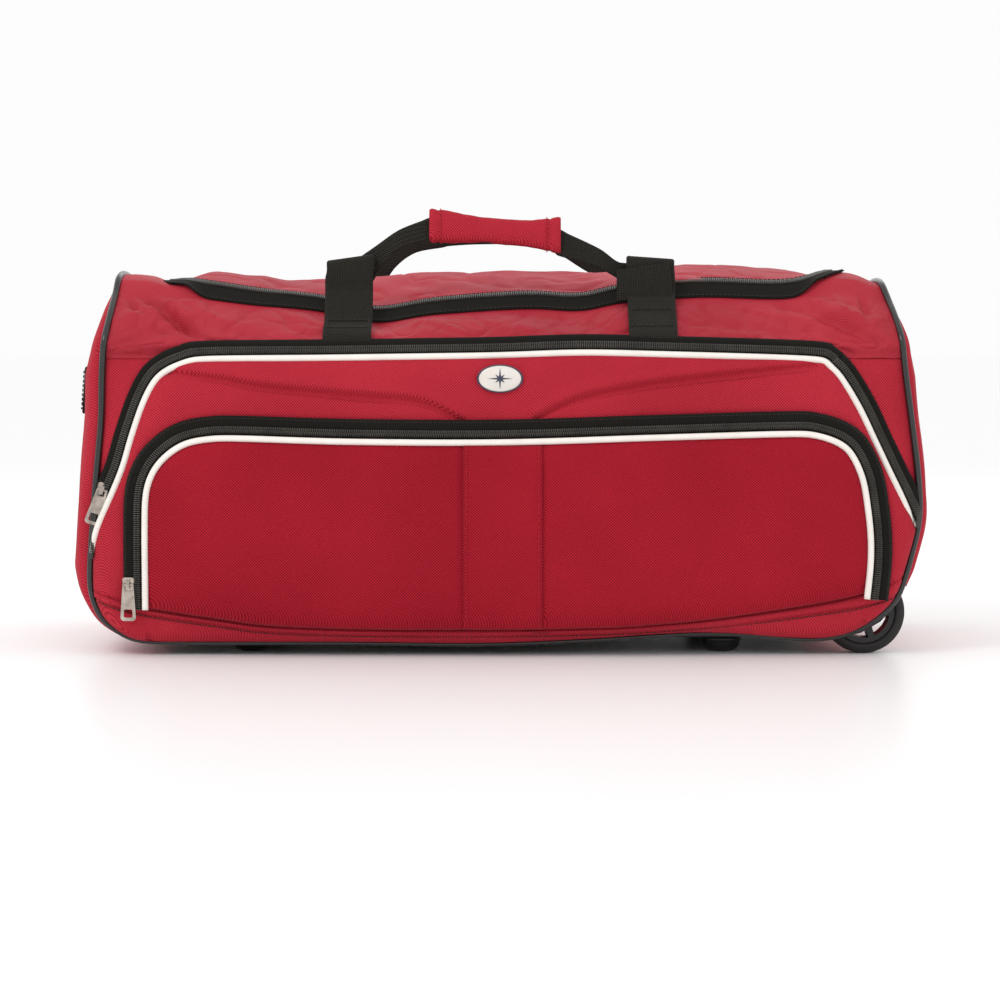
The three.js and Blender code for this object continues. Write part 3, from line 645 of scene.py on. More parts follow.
# Creases seen in the thin cloth: start [x, z], end [x, z], width, depth
TOP_FOLDS = [
    ((-297, 292), (-224, 244), 3.2, -3.4), ((-291, 292), (-240, 254), 2.6, -2.6),
    ((-296, 286), (-287, 272), 2.6, -2.6), ((-287, 272), (-274, 266), 2.6, -2.4),
    ((-300, 262), (-225, 284), 5, 2.4), ((-296, 246), (-236, 262), 4, -2.2),
    ((-262, 288), (-205, 252), 5, 2.0), ((-250, 262), (-190, 250), 4, -1.8),
    ((-216, 284), (-150, 262), 5, 1.6), ((-278, 284), (-214, 250), 3, 2.0),
    ((221, 279), (300, 246), 3.2, -3.2), ((232, 286), (300, 254), 5, 2.2),
    ((288, 290), (290, 262), 3.4, -3.0), ((222, 262), (288, 246), 3.4, -2.2),
    ((196, 276), (252, 256), 5, 1.8), ((160, 262), (232, 252), 4, -1.8),
    ((262, 292), (274, 262), 3, 1.8), ((240, 270), (300, 262), 3, 1.6),
    ((-80, 268), (-30, 252), 6, 1.5), ((10, 270), (80, 256), 6, -1.3), ((-20, 262), (30, 254), 5, 1.2),
]
LID_FOLDS = [((-190, 296), (-120, 282), 7, 1.5), ((110, 300), (180, 288), 8, 1.6)]


def zip_side(w, side):
    """x of the lid zip's side run at w, with its rounded front corner."""
    limit = ZIP_LEFT if side < 0 else ZIP_RIGHT
    rise = np.clip((w - 2) * ZIP_SPAN / ZIP_CORNER, 0, 1)
    inward = ZIP_CORNER * (1 - np.sqrt(np.clip(1 - (1 - rise) ** 2, 0, 1)))
    return limit - side * inward


def top_sheet(name, w, left, right, columns, noise_kind, fade, folds=(), creases=0.0, calm=1.0):
    """A sheet of thin cloth at w between two x lines; noise_kind is its amount, scale and seed."""
    u = np.linspace(0, 1, columns)[None]
    surface = top_surface(left * (1 - u) + right * u, w)
    pinned = rim_fade(len(w), columns, *fade) * calm
    surface = wrinkled(surface, *noise_kind, folds, pinned, creases)
    return cloth(name, surface, THIN, lined=True)


def top_pieces():
    w = np.linspace(0, 2, 56)[:, None]
    piece = top_sheet("top_front_cloth", w, edge_x(w, -1), edge_x(w, 1), 420, (1.7, 20, 3), (0.16, 0.02),
                      TOP_FOLDS, creases=1.6, calm=np.clip((1.8 - w) / 0.14, 0, 1))
    assign(piece, "bag", ["top_front_panel"])

    w = np.linspace(4, 6, 34)[:, None]
    piece = top_sheet("top_back_cloth", w, edge_x(w, -1), edge_x(w, 1), 420, (1.4, 14, 9), (0.2, 0.03), creases=1.0)
    assign(piece, "bag", ["top_back_panel"])

    w = (2 + 2 * np.linspace(0, 1, 90) ** 1.6)[:, None]
    for side, end in ((-1, "left"), (1, "right")):
        left, right = (edge_x(w, side), zip_side(w, side))[::-side]
        piece = top_sheet(f"top_{end}_cloth", w, left, right, 26, (1.0, 30, 5 + side), (0.1, 0.25))
        assign(piece, "bag", [f"top_{end}_panel"])

    w = (2 + 2 * np.linspace(0, 1, 110) ** 1.5)[:, None]
    piece = top_sheet("lid_cloth", w, zip_side(w, -1), zip_side(w, 1), 240, (2.2, 13, 12), (0.06, 0.03),
                      LID_FOLDS, creases=1.4)
    assign(piece, nodes=["lid_panel"])
    blend_lid(piece)


def blend_lid(piece):
    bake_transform(piece)


# ---- Zips ----
TAPE_THICK = 0.7


def coil(name, path, out, shift, half_length):
    """A row of zip teeth beside a path."""
    line = resample(np.hstack([path, np.broadcast_to(out, path.shape)]), 1.7)
    path = line[:, :3]
    bits = [bar(p + s * shift + n * 0.9, t, s, n, half_length, 0.52, 0.75)
            for p, t, s, n in zip(path, *frames_along(path, line[:, 3:]))]
    return many(name, bits, COIL)


def main_zip():
    w_side = 2 + (ZIP_END_W - 2) * np.linspace(1, 0, 60) ** 1.6
    left = np.stack([zip_side(w_side, -1), w_side], axis=1)
    right = np.stack([zip_side(w_side, 1), w_side], axis=1)[::-1]
    front_x = np.linspace(ZIP_LEFT + ZIP_CORNER, ZIP_RIGHT - ZIP_CORNER, 120)
    x, w = np.vstack([left[:-1], np.stack([front_x, np.full(120, 2.0)], axis=1), right[1:]]).T
    path = top_surface(x, w)
    out = unit(np.cross(top_surface(x + 1, w) - path, top_surface(x, w + 0.02) - path))
    line = resample(np.hstack([path, out, w[:, None]]), 2.5)
    path, out, w = soften(line[:, :3], 6), soften(line[:, 3:6], 6), line[:, 6]
    path = path + out * 0.8
    _, side, normal = frames_along(path, out)
    on_front = np.clip((2.04 - w) / 0.04, 0, 1)[:, None, None]

    def beside_zip(distances):
        """Places beside the zip: on the cloth along the front, square to the zip round its sides."""
        distances = np.array(distances)
        level = path[:, None] + side[:, None] * distances[None, :, None] + out[:, None] * 0.9
        slope = top_surface(path[:, :1], 2 - distances[None] / FRONT_SPAN) + np.array([0, -0.8, 1.2])
        return level * (1 - on_front) + slope * on_front

    rim = cloth("main_tape_rim", beside_zip([0.4, 2.4, 5.0, 7.5, 10.0, 13.0]), TAPE, TAPE_THICK)
    assign(rim, "bag", ["main_zip_tape"])
    assign(coil("main_coil_rim", path, out, 1.5, 1.9), "bag")
    across, lifts = np.array([-8.2, -5.5, -2.4, -0.4]), np.array([-0.4, 0.7, 0.9, 0.9])
    tape = path[:, None] + side[:, None] * across[None, :, None] + normal[:, None] * lifts[None, :, None]
    for piece in (
        cloth("main_tape_lid", tape, TAPE, TAPE_THICK),
        coil("main_coil_lid", path, out, -1.5, 1.9),
    ):
        assign(piece)
        blend_lid(piece)
    row = stitches("main_zip_stitch_bag", beside_zip([11.6])[:, 0], out, BLACK_THREAD, size=0.3, lift=0.5)
    assign(row, "bag")
    row = stitches("main_zip_stitch_lid", path - side * 7.2, out, BLACK_THREAD, size=0.3, lift=0.5)
    assign(row)
    blend_lid(row)


top_pieces()
main_zip()


# ---- Ends, base, front and back cloth ----
GUSSET_TOP = {-1: 295.5, 1: 292.5}         # heights of the left and right end panels
GUSSET_FULLEST = {-1: 19, 1: 12}           # and how far they swell
RECESS_R = 39.4                            # of the openings round the wheel housings
front_edge = {side: top_surface(side * 300, np.linspace(0, 2, 60)) for side in (-1, 1)}
back_edge = {side: top_surface(side * 300, np.linspace(6, 4, 60)) for side in (-1, 1)}


def depth_limits(z, side):
    """y of the front and back edges of an end panel at height z."""
    return [np.interp(z, edge[side][:, 2], edge[side][:, 1]) for edge in (front_edge, back_edge)]


def gusset_swell(side, z, t):
    """How far an end panel swells outwards at height z, t of the way from front to back."""
    from_foot = np.clip((z - 8) / 60, 0, 1) ** 0.8
    rise = GUSSET_FULLEST[side] * from_foot * np.clip((GUSSET_TOP[side] + 4 - z) / 80, 0.1, 1) ** 0.8
    return rise * np.sin(math.pi * np.clip(t, 0, 1) ** 0.45) ** 0.8


def wrap_surface(line, side, columns):
    """Cloth carried front to back along part of the outline, swelling outwards between."""
    normal = sideways(line)
    if (normal @ np.array([side, 0])).mean() < 0:
        normal = -normal
    y0, y1 = depth_limits(line[:, 1], side)
    t = np.linspace(0, 1, columns)[None]
    y = y0[:, None] * (1 - t) + y1[:, None] * t
    xz = line[:, None] + normal[:, None] * gusset_swell(side, line[:, 1:], t)[..., None]
    return np.stack([xz[..., 0], y, xz[..., 1]], axis=-1)


def cut_wheel_recesses(piece):
    """Opens the cloth round each wheel housing."""
    for node in ("wheel_housing_front", "wheel_housing_back"):
        low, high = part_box(node)
        bpy.ops.mesh.primitive_cylinder_add(
            vertices=72, radius=RECESS_R * MM, depth=(high.y - low.y) + 0.6 * MM,
            location=(WHEEL_X * MM, (low.y + high.y) / 2, WHEEL_Z * MM), rotation=(math.pi / 2, 0, 0))
        cutter = bpy.context.object
        cut = piece.modifiers.new("recess", "BOOLEAN")
        cut.operation = "DIFFERENCE"
        cut.solver = "EXACT"
        cut.object = cutter
        bpy.context.view_layer.update()
        mesh = bpy.data.meshes.new_from_object(piece.evaluated_get(bpy.context.evaluated_depsgraph_get()))
        piece.modifiers.clear()
        piece.data = mesh
        bpy.data.objects.remove(cutter)


def end_pieces():
    for side, end, half, edge in ((-1, "left", left_half, edge_left), (1, "right", right_half[::-1], edge_right)):
        top = GUSSET_TOP[side]
        line = resample(np.vstack([[edge(top), top], half[half[:, 1] < top]]), 3.2)
        surface = wrap_surface(line, side, 90)[::-1, ::side]
        surface = wrinkled(surface, 2.2, 9, 21 + side, (), rim_fade(*surface.shape[:2], 0.08, 0.08))
        piece = cloth(f"{end}_end_cloth", surface, PANEL, 1.6, lined=True)
        if side > 0:
            cut_wheel_recesses(piece)
        assign(piece, "bag", [f"{end}_end_panel"])


def base_piece():
    x, y = np.meshgrid(np.linspace(LEFT_TURN - 3, RIGHT_TURN + 3, 120), np.linspace(FRONT_Y, BACK_Y, 70))
    near = np.exp(-((y - FRONT_Y) / 30)) + np.exp(-((BACK_Y - y) / 30))
    z = FLOOR_Z - 0.6 + base_lift(x) * np.clip(near, 0, 1) + 0.6 * np.sin(x / 47) * np.sin(y / 31)
    piece = cloth("base_cloth", np.stack([x, y, z], axis=-1)[:, ::-1], BASE, 1.4, lined=True)
    assign(piece, "bag", ["base_panel"])


def wall_xz(rows, columns):
    """Flat places over a wall, and how far each is from the wall's sides."""
    z = np.linspace(FLOOR_Z, SEAM_Z, rows)[:, None]
    u = np.linspace(0, 1, columns)[None]
    x = edge_left(z) * (1 - u) + edge_right(z) * u
    return x, z * np.ones_like(x), np.minimum(x - edge_left(z), edge_right(z) - x)


def wall_pieces():
    x, z, edge = wall_xz(90, 240)
    puff = 3.2 * (1 - np.exp(-edge / 14)) * np.clip((SEAM_Z - z) / 12, 0, 1) ** 0.5
    surface = np.stack([x, FRONT_Y + 1.0 - puff, place_front(x, z)], axis=-1)
    surface = wrinkled(surface, 1.3, 12, 31,
                       [((-312, 150), (-290, 205), 7, 1.5), ((300, 205), (318, 150), 7, 1.5)],
                       rim_fade(90, 240, 0.05, 0.02))
    piece = cloth("front_wall_cloth", surface, PANEL, 1.6, lined=True)
    assign(piece, "bag", ["front_wall"])

    x, z, edge = wall_xz(100, 220)
    puff = 5.5 * (1 - np.exp(-np.minimum(edge, z - 9) / 26))
    surface = np.stack([x, BACK_Y - 1.0 + puff, place_front(x, z)], axis=-1)[:, ::-1]
    surface = wrinkled(surface, 2.4, 7, 41, (), rim_fade(100, 220, 0.06, 0.04))
    piece = cloth("back_cloth", surface, PANEL, 1.6, lined=True)
    assign(piece, "bag", ["back_panel"])


end_pieces()
base_piece()
wall_pieces()


# ---- Edge piping ----
EDGE_PIPING_R = 2.6


def edge_piping():
    low = outline[outline[:, 1] < SEAM_Z - 2]
    for name, y, start, seam, nodes in (
        ("front_edge_piping", FRONT_Y, 3.0, 0.0, ("front_piping",)),
        ("back_edge_piping", BACK_Y, 3.02, 6.0, ("back_piping", "top_left_piping", "top_right_piping")),
    ):
        w = np.linspace(start, seam, 80)
        left, right = top_surface(-300, w), top_surface(300, w)
        left[:, 0] = edge_left(left[:, 2])
        right[:, 0] = edge_right(right[:, 2])
        under = np.stack([low[:, 0], np.full(len(low), y), low[:, 1]], axis=1)
        path = soften(resample(np.vstack([left, under, right[::-1]]), 3.0), 5)
        out = path - np.array([0, MIDDLE_Y, 150])
        out[:, 0] = np.where(np.abs(out[:, 0]) > 250, out[:, 0], out[:, 0] * 0.1)
        out = unit(out)
        swell = 1 + 0.06 * crumple(path * MM, 40, 2, 2.0)
        swell = swell * np.clip(0.62 + (path[:, 2] - FLOOR_Z - 9) / 30, 0.62, 1)
        section = ring(EDGE_PIPING_R)[None] * swell[:, None, None]
        lifted = path + np.array([0, -1.0 if y < 0 else 1.0, 0]) + out * (0.9 * swell[:, None])
        assign(sweep(name, lifted, out, section, GLOSS), "bag", nodes)


edge_piping()


# ---- Pockets ----
outer_line = spline(seen([
    (-322, 76), (-318, 97), (-309, 118), (-297, 146), (-289, 172.5), (-280, 198), (-271, 215), (-262, 223),
    (-248, 229), (-230, 232), (-141, 233), (-65, 234), (-3, 235), (59, 237), (114, 236), (238, 232), (252, 227),
    (261, 219), (276, 195), (289, 168), (301, 143), (309, 127), (322, 99),
], FRONT_Y - 9.5), 3)
inner_line = spline(seen([
    (-279, 37), (-279, 60), (-279, 97), (-278, 126), (-273, 143), (-263, 156), (-248, 166), (-229, 170),
    (-204, 170.5), (-119, 168), (-3, 167.5), (114, 171), (220, 174), (244, 172.5), (262, 166), (271, 157),
    (279, 139), (283, 117), (285.5, 94), (285.5, 72), (283, 45.5),
], POCKET_Y - 5.5), 3)
hem_line = spline(seen([
    (-321.5, 48), (-300, 41), (-277.8, 35.4), (-220, 26.5), (-181.4, 21.6), (-113, 19.0), (-16, 18.5),
    (60, 19.6), (106, 21.4), (170, 27), (254.5, 39.2), (290, 47), (316, 56.5),
], POCKET_Y), 3)
tuck_lines = [
    spline([(-258, 222), (-214, 216.5), (-185, 211), (-115, 204), (-61, 199), (-29, 184.5)], 4),
    spline([(30, 186), (63, 201.5), (118, 212.5), (190, 221), (247, 227)], 4),
]


def hem_height(x):
    return np.interp(x, hem_line[:, 0], hem_line[:, 1])


def hem_half(x):
    """Half the height of the raised welt that runs along the hem."""
    return np.interp(x, (-320, -113, 106, 254, 314), (2.6, 2.2, 2.2, 3.8, 5.6))


def line_sides(line, z):
    """x of a pocket line's left and right sides at height z."""
    top = int(np.argmax(line[:, 1] - 0.002 * np.abs(line[:, 0])))
    left, right = line[:top + 1], line[top:][::-1]
    return at_height(left, z), at_height(right, z)


def at_height(side, z):
    """x at height z along one side of a line, given from its foot up."""
    return np.interp(z, np.maximum.accumulate(side[:, 1]), side[:, 0])


outer_top = outer_line[:, 1].max()
inner_top = inner_line[:, 1].max()
INNER_CORNERS = (-222, 232)        # x where the inner pocket's top edge starts to turn down


def outer_face_xz(rows, columns):
    low, high = np.linspace(FLOOR_Z + 0.4, 72, 76), np.linspace(72, outer_top - 0.3, rows - 75)
    z = np.concatenate([low, high[1:]])[:, None]
    bag_left, bag_right = edge_left(z) + 1.5, edge_right(z) - 1.5
    left, right = line_sides(outer_line, z)
    left = np.where(z < outer_line[0, 1], bag_left, np.maximum(left, bag_left))
    right = np.where(z < outer_line[-1, 1], bag_right, np.minimum(right, bag_right))
    u = np.linspace(0, 1, columns)[None]
    return left * (1 - u) + right * u, z * np.ones((1, columns))


def outer_depth(x, z):
    """How far the outer pocket's cloth stands in front of the bag, at flat places."""
    flat = np.stack([x.ravel(), z.ravel()], axis=1)
    left, right = line_sides(outer_line, flat[:, 1])
    side = np.minimum(flat[:, 0] - np.maximum(left, edge_left(flat[:, 1])),
                      np.minimum(right, edge_right(flat[:, 1])) - flat[:, 0])
    edge = np.minimum(np.maximum(side, 0), np.maximum(outer_top - flat[:, 1], 0))
    edge = np.minimum(edge, distance(flat, outer_line))
    bottom = np.maximum(flat[:, 1] - FLOOR_Z, 0)
    full = FRONT_Y - POCKET_Y
    rim = 7.5 * np.clip((flat[:, 1] - 70) / 40, 0, 1) + 1.2
    depth = rim + (full - rim) * (1 - np.exp(-edge / 6.5))
    depth = depth * (1 - 0.92 * np.exp(-bottom / 6.0))
    gap = np.maximum(distance(flat, inner_line) - 14, 0)
    left, right = line_sides(inner_line, flat[:, 1])
    gap = np.where((flat[:, 0] > left) & (flat[:, 0] < right) & (flat[:, 1] < inner_top), 0, gap)
    depth += 3.4 * (1 - np.exp(-np.minimum(gap, edge) / 9))
    # The welt along the hem, with a groove on either side, then the tucks
    hem = np.abs(place_front(flat[:, 0], flat[:, 1]) - hem_height(flat[:, 0]))
    half = hem_half(flat[:, 0])
    depth += 1.9 * np.sqrt(np.clip(1 - (hem / half) ** 2, 0, 1))
    depth -= 1.5 * np.exp(-(((hem - half) / 1.1) ** 2))
    for line in tuck_lines:
        depth -= 3.4 * np.exp(-((distance(flat, line) / 2.2) ** 2))
        depth += 1.6 * np.exp(-((distance(flat, line + [0, 6.0]) / 4.0) ** 2))
    return depth.reshape(x.shape)


def blend_outer(piece):
    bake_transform(piece)


def blend_inner(piece):
    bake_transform(piece)


def outer_pocket():
    rows, columns = 190, 330
    x, z = outer_face_xz(rows, columns)
    surface = np.stack([x, FRONT_Y - outer_depth(x, z), place_front(x, z)], axis=-1)
    surface = wrinkled(surface, 0.9, 14, 51, (), rim_fade(rows, columns, 0.04, 0.02))
    piece = cloth("outer_pocket_cloth", surface, PANEL, 1.6, lined=True)
    assign(piece, nodes=["outer_pocket_panel", "pocket_base"])
    blend_outer(piece)

    path = np.stack([outer_line[:, 0], np.full(len(outer_line), FRONT_Y - 9.5), outer_line[:, 1]], axis=1)
    run = lengths(outer_line)
    path[:, 1] += 11 * np.exp(-np.minimum(run, run[-1] - run) / 11)
    piece = sweep("outer_white_piping", soften(path, 3), FRONT, ring(2.6), WHITE)
    assign(piece, nodes=["outer_pocket_piping"])
    blend_outer(piece)


def band_beside(line, shifts, lifts, y, limit=None):
    """A flat band beside a pocket line: rows along it, columns outwards."""
    normal = sideways(line)
    if normal[len(line) // 2, 1] < 0:
        normal = -normal
    flat = line[:, None] + normal[:, None] * np.array(shifts)[None, :, None]
    depth = np.broadcast_to(np.array(lifts)[None], flat.shape[:2])
    if limit is not None:
        left, right = edge_left(flat[..., 1]) + limit, edge_right(flat[..., 1]) - limit
        flat[..., 0] = np.clip(flat[..., 0], left, right)
    return np.stack([flat[..., 0], y - depth, flat[..., 1]], axis=-1)


def pocket_zip(name, line, y, lift, body, blend_flap, limit=None, width=14.5, rim_lift=0.4):
    """The zip outside a pocket's piping: one tape on the bag, one on the flap, and their coils."""
    surface = band_beside(line, [6.8, 9, width - 3, width], [lift - 1.6, lift - 2.2, lift * 0.65, rim_lift], y, limit)
    tape = cloth(f"{name}_tape", surface[:, ::-1], TAPE, TAPE_THICK)
    assign(tape, body, [f"{name}_tape"])
    surface = band_beside(line, [2.0, 3.8, 6.4], [lift - 0.6, lift - 0.7, lift - 1.4], y, limit)
    flap = cloth(f"{name}_flap_tape", surface[:, ::-1], TAPE, TAPE_THICK)
    bag_rail, flap_rail = (band_beside(line, [shift], [lift - 1.5], y, limit)[:, 0] for shift in (7.9, 5.3))
    assign(coil(f"{name}_coil", bag_rail, FRONT, 0, 1.45), body)
    for piece in (flap, coil(f"{name}_flap_coil", flap_rail, FRONT, 0, 1.45)):
        assign(piece)
        blend_flap(piece)
    rail = band_beside(line, [width - 2], [lift * 0.35 + 0.2], y, limit)[:, 0]
    assign(stitches(f"{name}_stitch", rail, FRONT, BLACK_THREAD, size=0.3, lift=0.3), body)


def face_row(name, line, material):
    """Stitches along a flat line, lying on the outer pocket's cloth."""
    line = resample(line, 2.0)
    line = line[(line[:, 0] > edge_left(line[:, 1]) + 3) & (line[:, 0] < edge_right(line[:, 1]) - 3)]
    lift = place_front(line[:, 0], line[:, 1]) - line[:, 1]
    depth = outer_depth(line[:, :1], line[:, 1:] - lift[:, None])[:, 0]
    path = np.stack([line[:, 0], FRONT_Y - depth, line[:, 1]], axis=1)
    row = stitches(name, path, FRONT, material, lift=0.25)
    assign(row)
    blend_outer(row)


INNER_RIM = 4.5                    # how far the inner pocket's cloth stands out at its piping
STRIP = (-27, 34)                  # x of the centre strip's sides


def inner_foot(x):
    """The inner pocket's lower edge, just above the hem's welt."""
    return hem_height(x) + hem_half(x) + 0.8


def inner_rise(x):
    """Height of the inner pocket's top edge between its rounded corners."""
    top = inner_line[(inner_line[:, 0] > INNER_CORNERS[0]) & (inner_line[:, 0] < INNER_CORNERS[1])]
    return np.interp(x, top[:, 0], top[:, 1])


def inner_depth(edge, bottom):
    """How far the inner pocket's cloth stands out, edge from its piping and bottom above its foot."""
    depth = INNER_RIM + (POCKET_Y - INNER_Y - INNER_RIM) * (1 - np.exp(-edge / 6)) \
        + 2.4 * (1 - np.exp(-np.minimum(edge, bottom * 1.5) / 30))
    return depth * (1 - 0.75 * np.exp(-bottom / 7))


def strip_face(z):
    """y of the inner pocket's middle, where the centre strip is sewn."""
    return POCKET_Y - 3.0 - inner_depth(np.maximum(inner_rise(3) - z, 0), np.maximum(z - inner_foot(3), 0))


def inner_face_xz(rows, columns):
    """Flat places filling the inner pocket's outline, crowded towards its top edge."""
    level = 1 - (1 - np.linspace(0, 1, rows)[:, None]) ** 1.3
    u = np.linspace(0, 1, columns)[None]
    left = inner_line[inner_line[:, 0] < INNER_CORNERS[0]]
    right = inner_line[inner_line[:, 0] > INNER_CORNERS[1]][::-1]
    x = (inner_line[0, 0] * (1 - u) + inner_line[-1, 0] * u) * np.ones((rows, 1))
    for _ in range(4):
        z = inner_foot(x) + (inner_rise(x) - 0.3 - inner_foot(x)) * level
        x = at_height(left, z) * (1 - u) + at_height(right, z) * u
    return x, z


def inner_pocket():
    rows, columns = 90, 280
    x, z = inner_face_xz(rows, columns)
    edge = distance(np.stack([x.ravel(), z.ravel()], axis=1), inner_line).reshape(x.shape)
    depth = inner_depth(edge, np.maximum(z - inner_foot(x), 0))
    for seam in (STRIP[0] - 1, STRIP[1] + 1):
        depth -= 1.3 * np.exp(-(((x - seam) / 2.2) ** 2))
    surface = np.stack([x, POCKET_Y - 3.0 - depth, z], axis=-1)
    surface = wrinkled(surface, 0.8, 11, 61, (), rim_fade(rows, columns, 0.05, 0.03))
    piece = cloth("inner_pocket_cloth", surface, POCKET, 1.6, lined=True)
    assign(piece, nodes=["inner_pocket_panel"])
    blend_inner(piece)

    path = np.stack([inner_line[:, 0], np.full(len(inner_line), POCKET_Y - 10.0), inner_line[:, 1]], axis=1)
    piece = sweep("inner_white_piping", soften(path, 3), FRONT, ring(2.5), WHITE)
    assign(piece, nodes=["inner_pocket_piping"])
    blend_inner(piece)

    zs = np.linspace(inner_foot(3) + 0.3, inner_rise(3) - 2.4, 70)[:, None]
    xs = np.linspace(*STRIP, 40)[None]
    rim = np.minimum(xs - STRIP[0], STRIP[1] - xs)
    y = strip_face(zs) - 0.9 - 0.8 * (1 - np.exp(-rim / 3))
    surface = np.stack(np.broadcast_arrays(xs, y, zs), axis=-1)
    piece = cloth("centre_strip_cloth", surface, POCKET, 1.0)
    assign(piece, nodes=["centre_strip"])
    blend_inner(piece)
    for label, at in (("left", STRIP[0] + 2.5), ("right", STRIP[1] - 2.5)):
        zs = np.linspace(inner_foot(at) + 2, inner_rise(at) - 5, 60)
        path = np.stack([np.full(60, at), strip_face(zs) - 1.5, zs], axis=1)
        row = stitches(f"centre_strip_{label}_stitch", path, FRONT, THREAD, lift=0.25)
        assign(row)
        blend_inner(row)


outer_pocket()
inner_pocket()
pocket_zip("outer_zip", outer_line, FRONT_Y, 8.5, "bag", blend_outer, limit=0.6, rim_lift=3.8)
pocket_zip("inner_zip", inner_line, POCKET_Y - 2.5, 4.5, "outer_pocket", blend_inner, width=17.5)
for label, sign, thread in (("low", -1, BLACK_THREAD), ("high", 1, THREAD)):
    rise = np.stack([np.zeros(len(hem_line)), sign * (hem_half(hem_line[:, 0]) + 1.6)], axis=1)
    face_row(f"hem_stitch_{label}", hem_line + rise, thread)
for label, line in zip(("left", "right"), tuck_lines):
    face_row(f"tuck_stitch_{label}", line + [0, -3.4], THREAD)


# ---- Webbing ----
STRAP = 38                         # width of the wide webbing
RIB, RIB_PITCH = 0.16, 1.9


def ribbon(name, stations, thick=2.0):
    """A ribbed strap through given stations: [centre xyz, width, width direction xyz, facing xyz]."""
    line = spline([[*centre, width, *across, *face] for centre, width, across, face in stations], RIB_PITCH / 4)
    centre, width, across, face = line[:, :3], line[:, 3], unit(line[:, 4:7]), line[:, 7:10]
    face = unit(face - across * (face * across).sum(axis=1, keepdims=True))
    ribs = RIB * np.sin(lengths(centre) / RIB_PITCH * 2 * math.pi)
    section = flat_section(1.0, 0.06, 9)
    points = centre[:, None] + across[:, None] * (section[:, 0][None] * width[:, None])[..., None]
    top = np.sign(section[:, 1])[None] * (thick / 2 + ribs[:, None])
    points = points + face[:, None] * top[..., None]
    return solid(name, points.reshape(-1, 3), tube_faces(*points.shape[:2]), WEB)


FRONT_PIVOT = box_mm("front_handle_webbing")[0, 1] + 1.25
BACK_PIVOT = box_mm("back_handle_webbing")[0, 1] + 1.25
PIVOT_Z = box_mm("front_handle_webbing")[0, 2]
FRONT_LEGS, BACK_LEGS = (-118, 121), (-117, 123)


def blend_handle(piece):
    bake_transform(piece)


def leg(name, x, sign, outward, pivot, low_stations):
    """One upright leg of a carry handle: it rises flat from its sewn foot and folds over behind itself."""
    slant = (0.99, 0, 0.14 * sign)
    stations = low_stations + [
        [(x, pivot + outward * 3.4, PIVOT_Z + 3), STRAP, (1, 0, 0), (0, outward, 0)],
        [(x, pivot + outward * 2.4, 296), STRAP, (1, 0, 0.05 * sign), (0, outward, 0)],
    ]
    for out, z, facing_y, facing_z in ((2.0, 304, 1, 0), (1.4, 309.6, 1, 0.6), (-0.8, 311.2, 0, 1),
                                       (-3.0, 309, -1, 0.4), (-3.6, 300, -1, 0)):
        stations.append([(x + sign, pivot + outward * out, z), STRAP, slant, (0, outward * facing_y, facing_z)])
    piece = ribbon(name, stations)
    assign(piece)
    blend_handle(piece)
    return piece


def handle_webbing(name, body, outward, pivot, low, nodes, legs, grip):
    """Two flat legs and, behind their folded tops, the narrower folded strap that runs through the grip."""
    left_x, right_x = legs
    first = leg(f"{name}_left", left_x, 1, outward, pivot, low(left_x))
    leg(f"{name}_right", right_x, -0.5, outward, pivot, low(right_x))
    behind = pivot - outward * 7.4
    stations = [
        [(left_x + 2, behind, 293), 24, (-0.5, 0, 0.86), (0, outward, 0)],
        [(left_x + 12, behind, 302), 22, (-0.55, 0, 0.83), (0, outward, 0.1)],
        [(left_x + 25, pivot - outward * 5, 315.5), 15, (-0.5, 0.2, 0.83), (0, outward, 0.3)],
        [(left_x + 42, pivot - outward * 1.5, 327.5), 14, (-0.5, 0.1, 0.86), (0, outward, 0.2)],
        [(grip[0][0] - 10, pivot, grip[0][1] - 2.5), 18, (-0.35, 0, 0.93), (0, outward, 0)],
    ]
    stations += [[(x, pivot, z), 19, (0, 0, 1), (0, outward, 0)] for x, z in grip]
    stations += [
        [(grip[-1][0] + 10, pivot, grip[-1][1] - 4.5), 19, (0.35, 0, 0.93), (0, outward, 0)],
        [(right_x - 44, pivot - outward * 1.5, 312.5), 15, (0.45, 0.1, 0.86), (0, outward, 0.2)],
        [(right_x - 28, pivot - outward * 5, 303.5), 12, (0.5, 0.2, 0.83), (0, outward, 0.3)],
        [(right_x - 12, behind, 297), 20, (0.5, 0, 0.86), (0, outward, 0.1)],
        [(right_x - 2, behind, 291), 24, (0.5, 0, 0.86), (0, outward, 0)],
    ]
    assign(ribbon(f"{name}_run", stations, thick=3.4), body)
    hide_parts(*nodes)


def front_low(x):
    """The front straps' sewn feet, on the slope of the top cloth."""
    on = [top_surface(x, w) for w in (1.2, 1.5)]
    return [
        [(x, FRONT_Y - 3.5, 240), STRAP, (1, 0, 0), (0, -1, 0)],
        [(x, FRONT_Y - 3.2, 251), STRAP, (1, 0, 0), (0, -1, 0.3)],
        [(x, on[0][1] - 2.5, on[0][2] + 3.0), STRAP, (1, 0, 0), (0, -0.55, 0.83)],
        [(x, on[1][1] - 2.0, on[1][2] + 3.2), STRAP, (1, 0, 0), (0, -0.8, 0.6)],
    ]


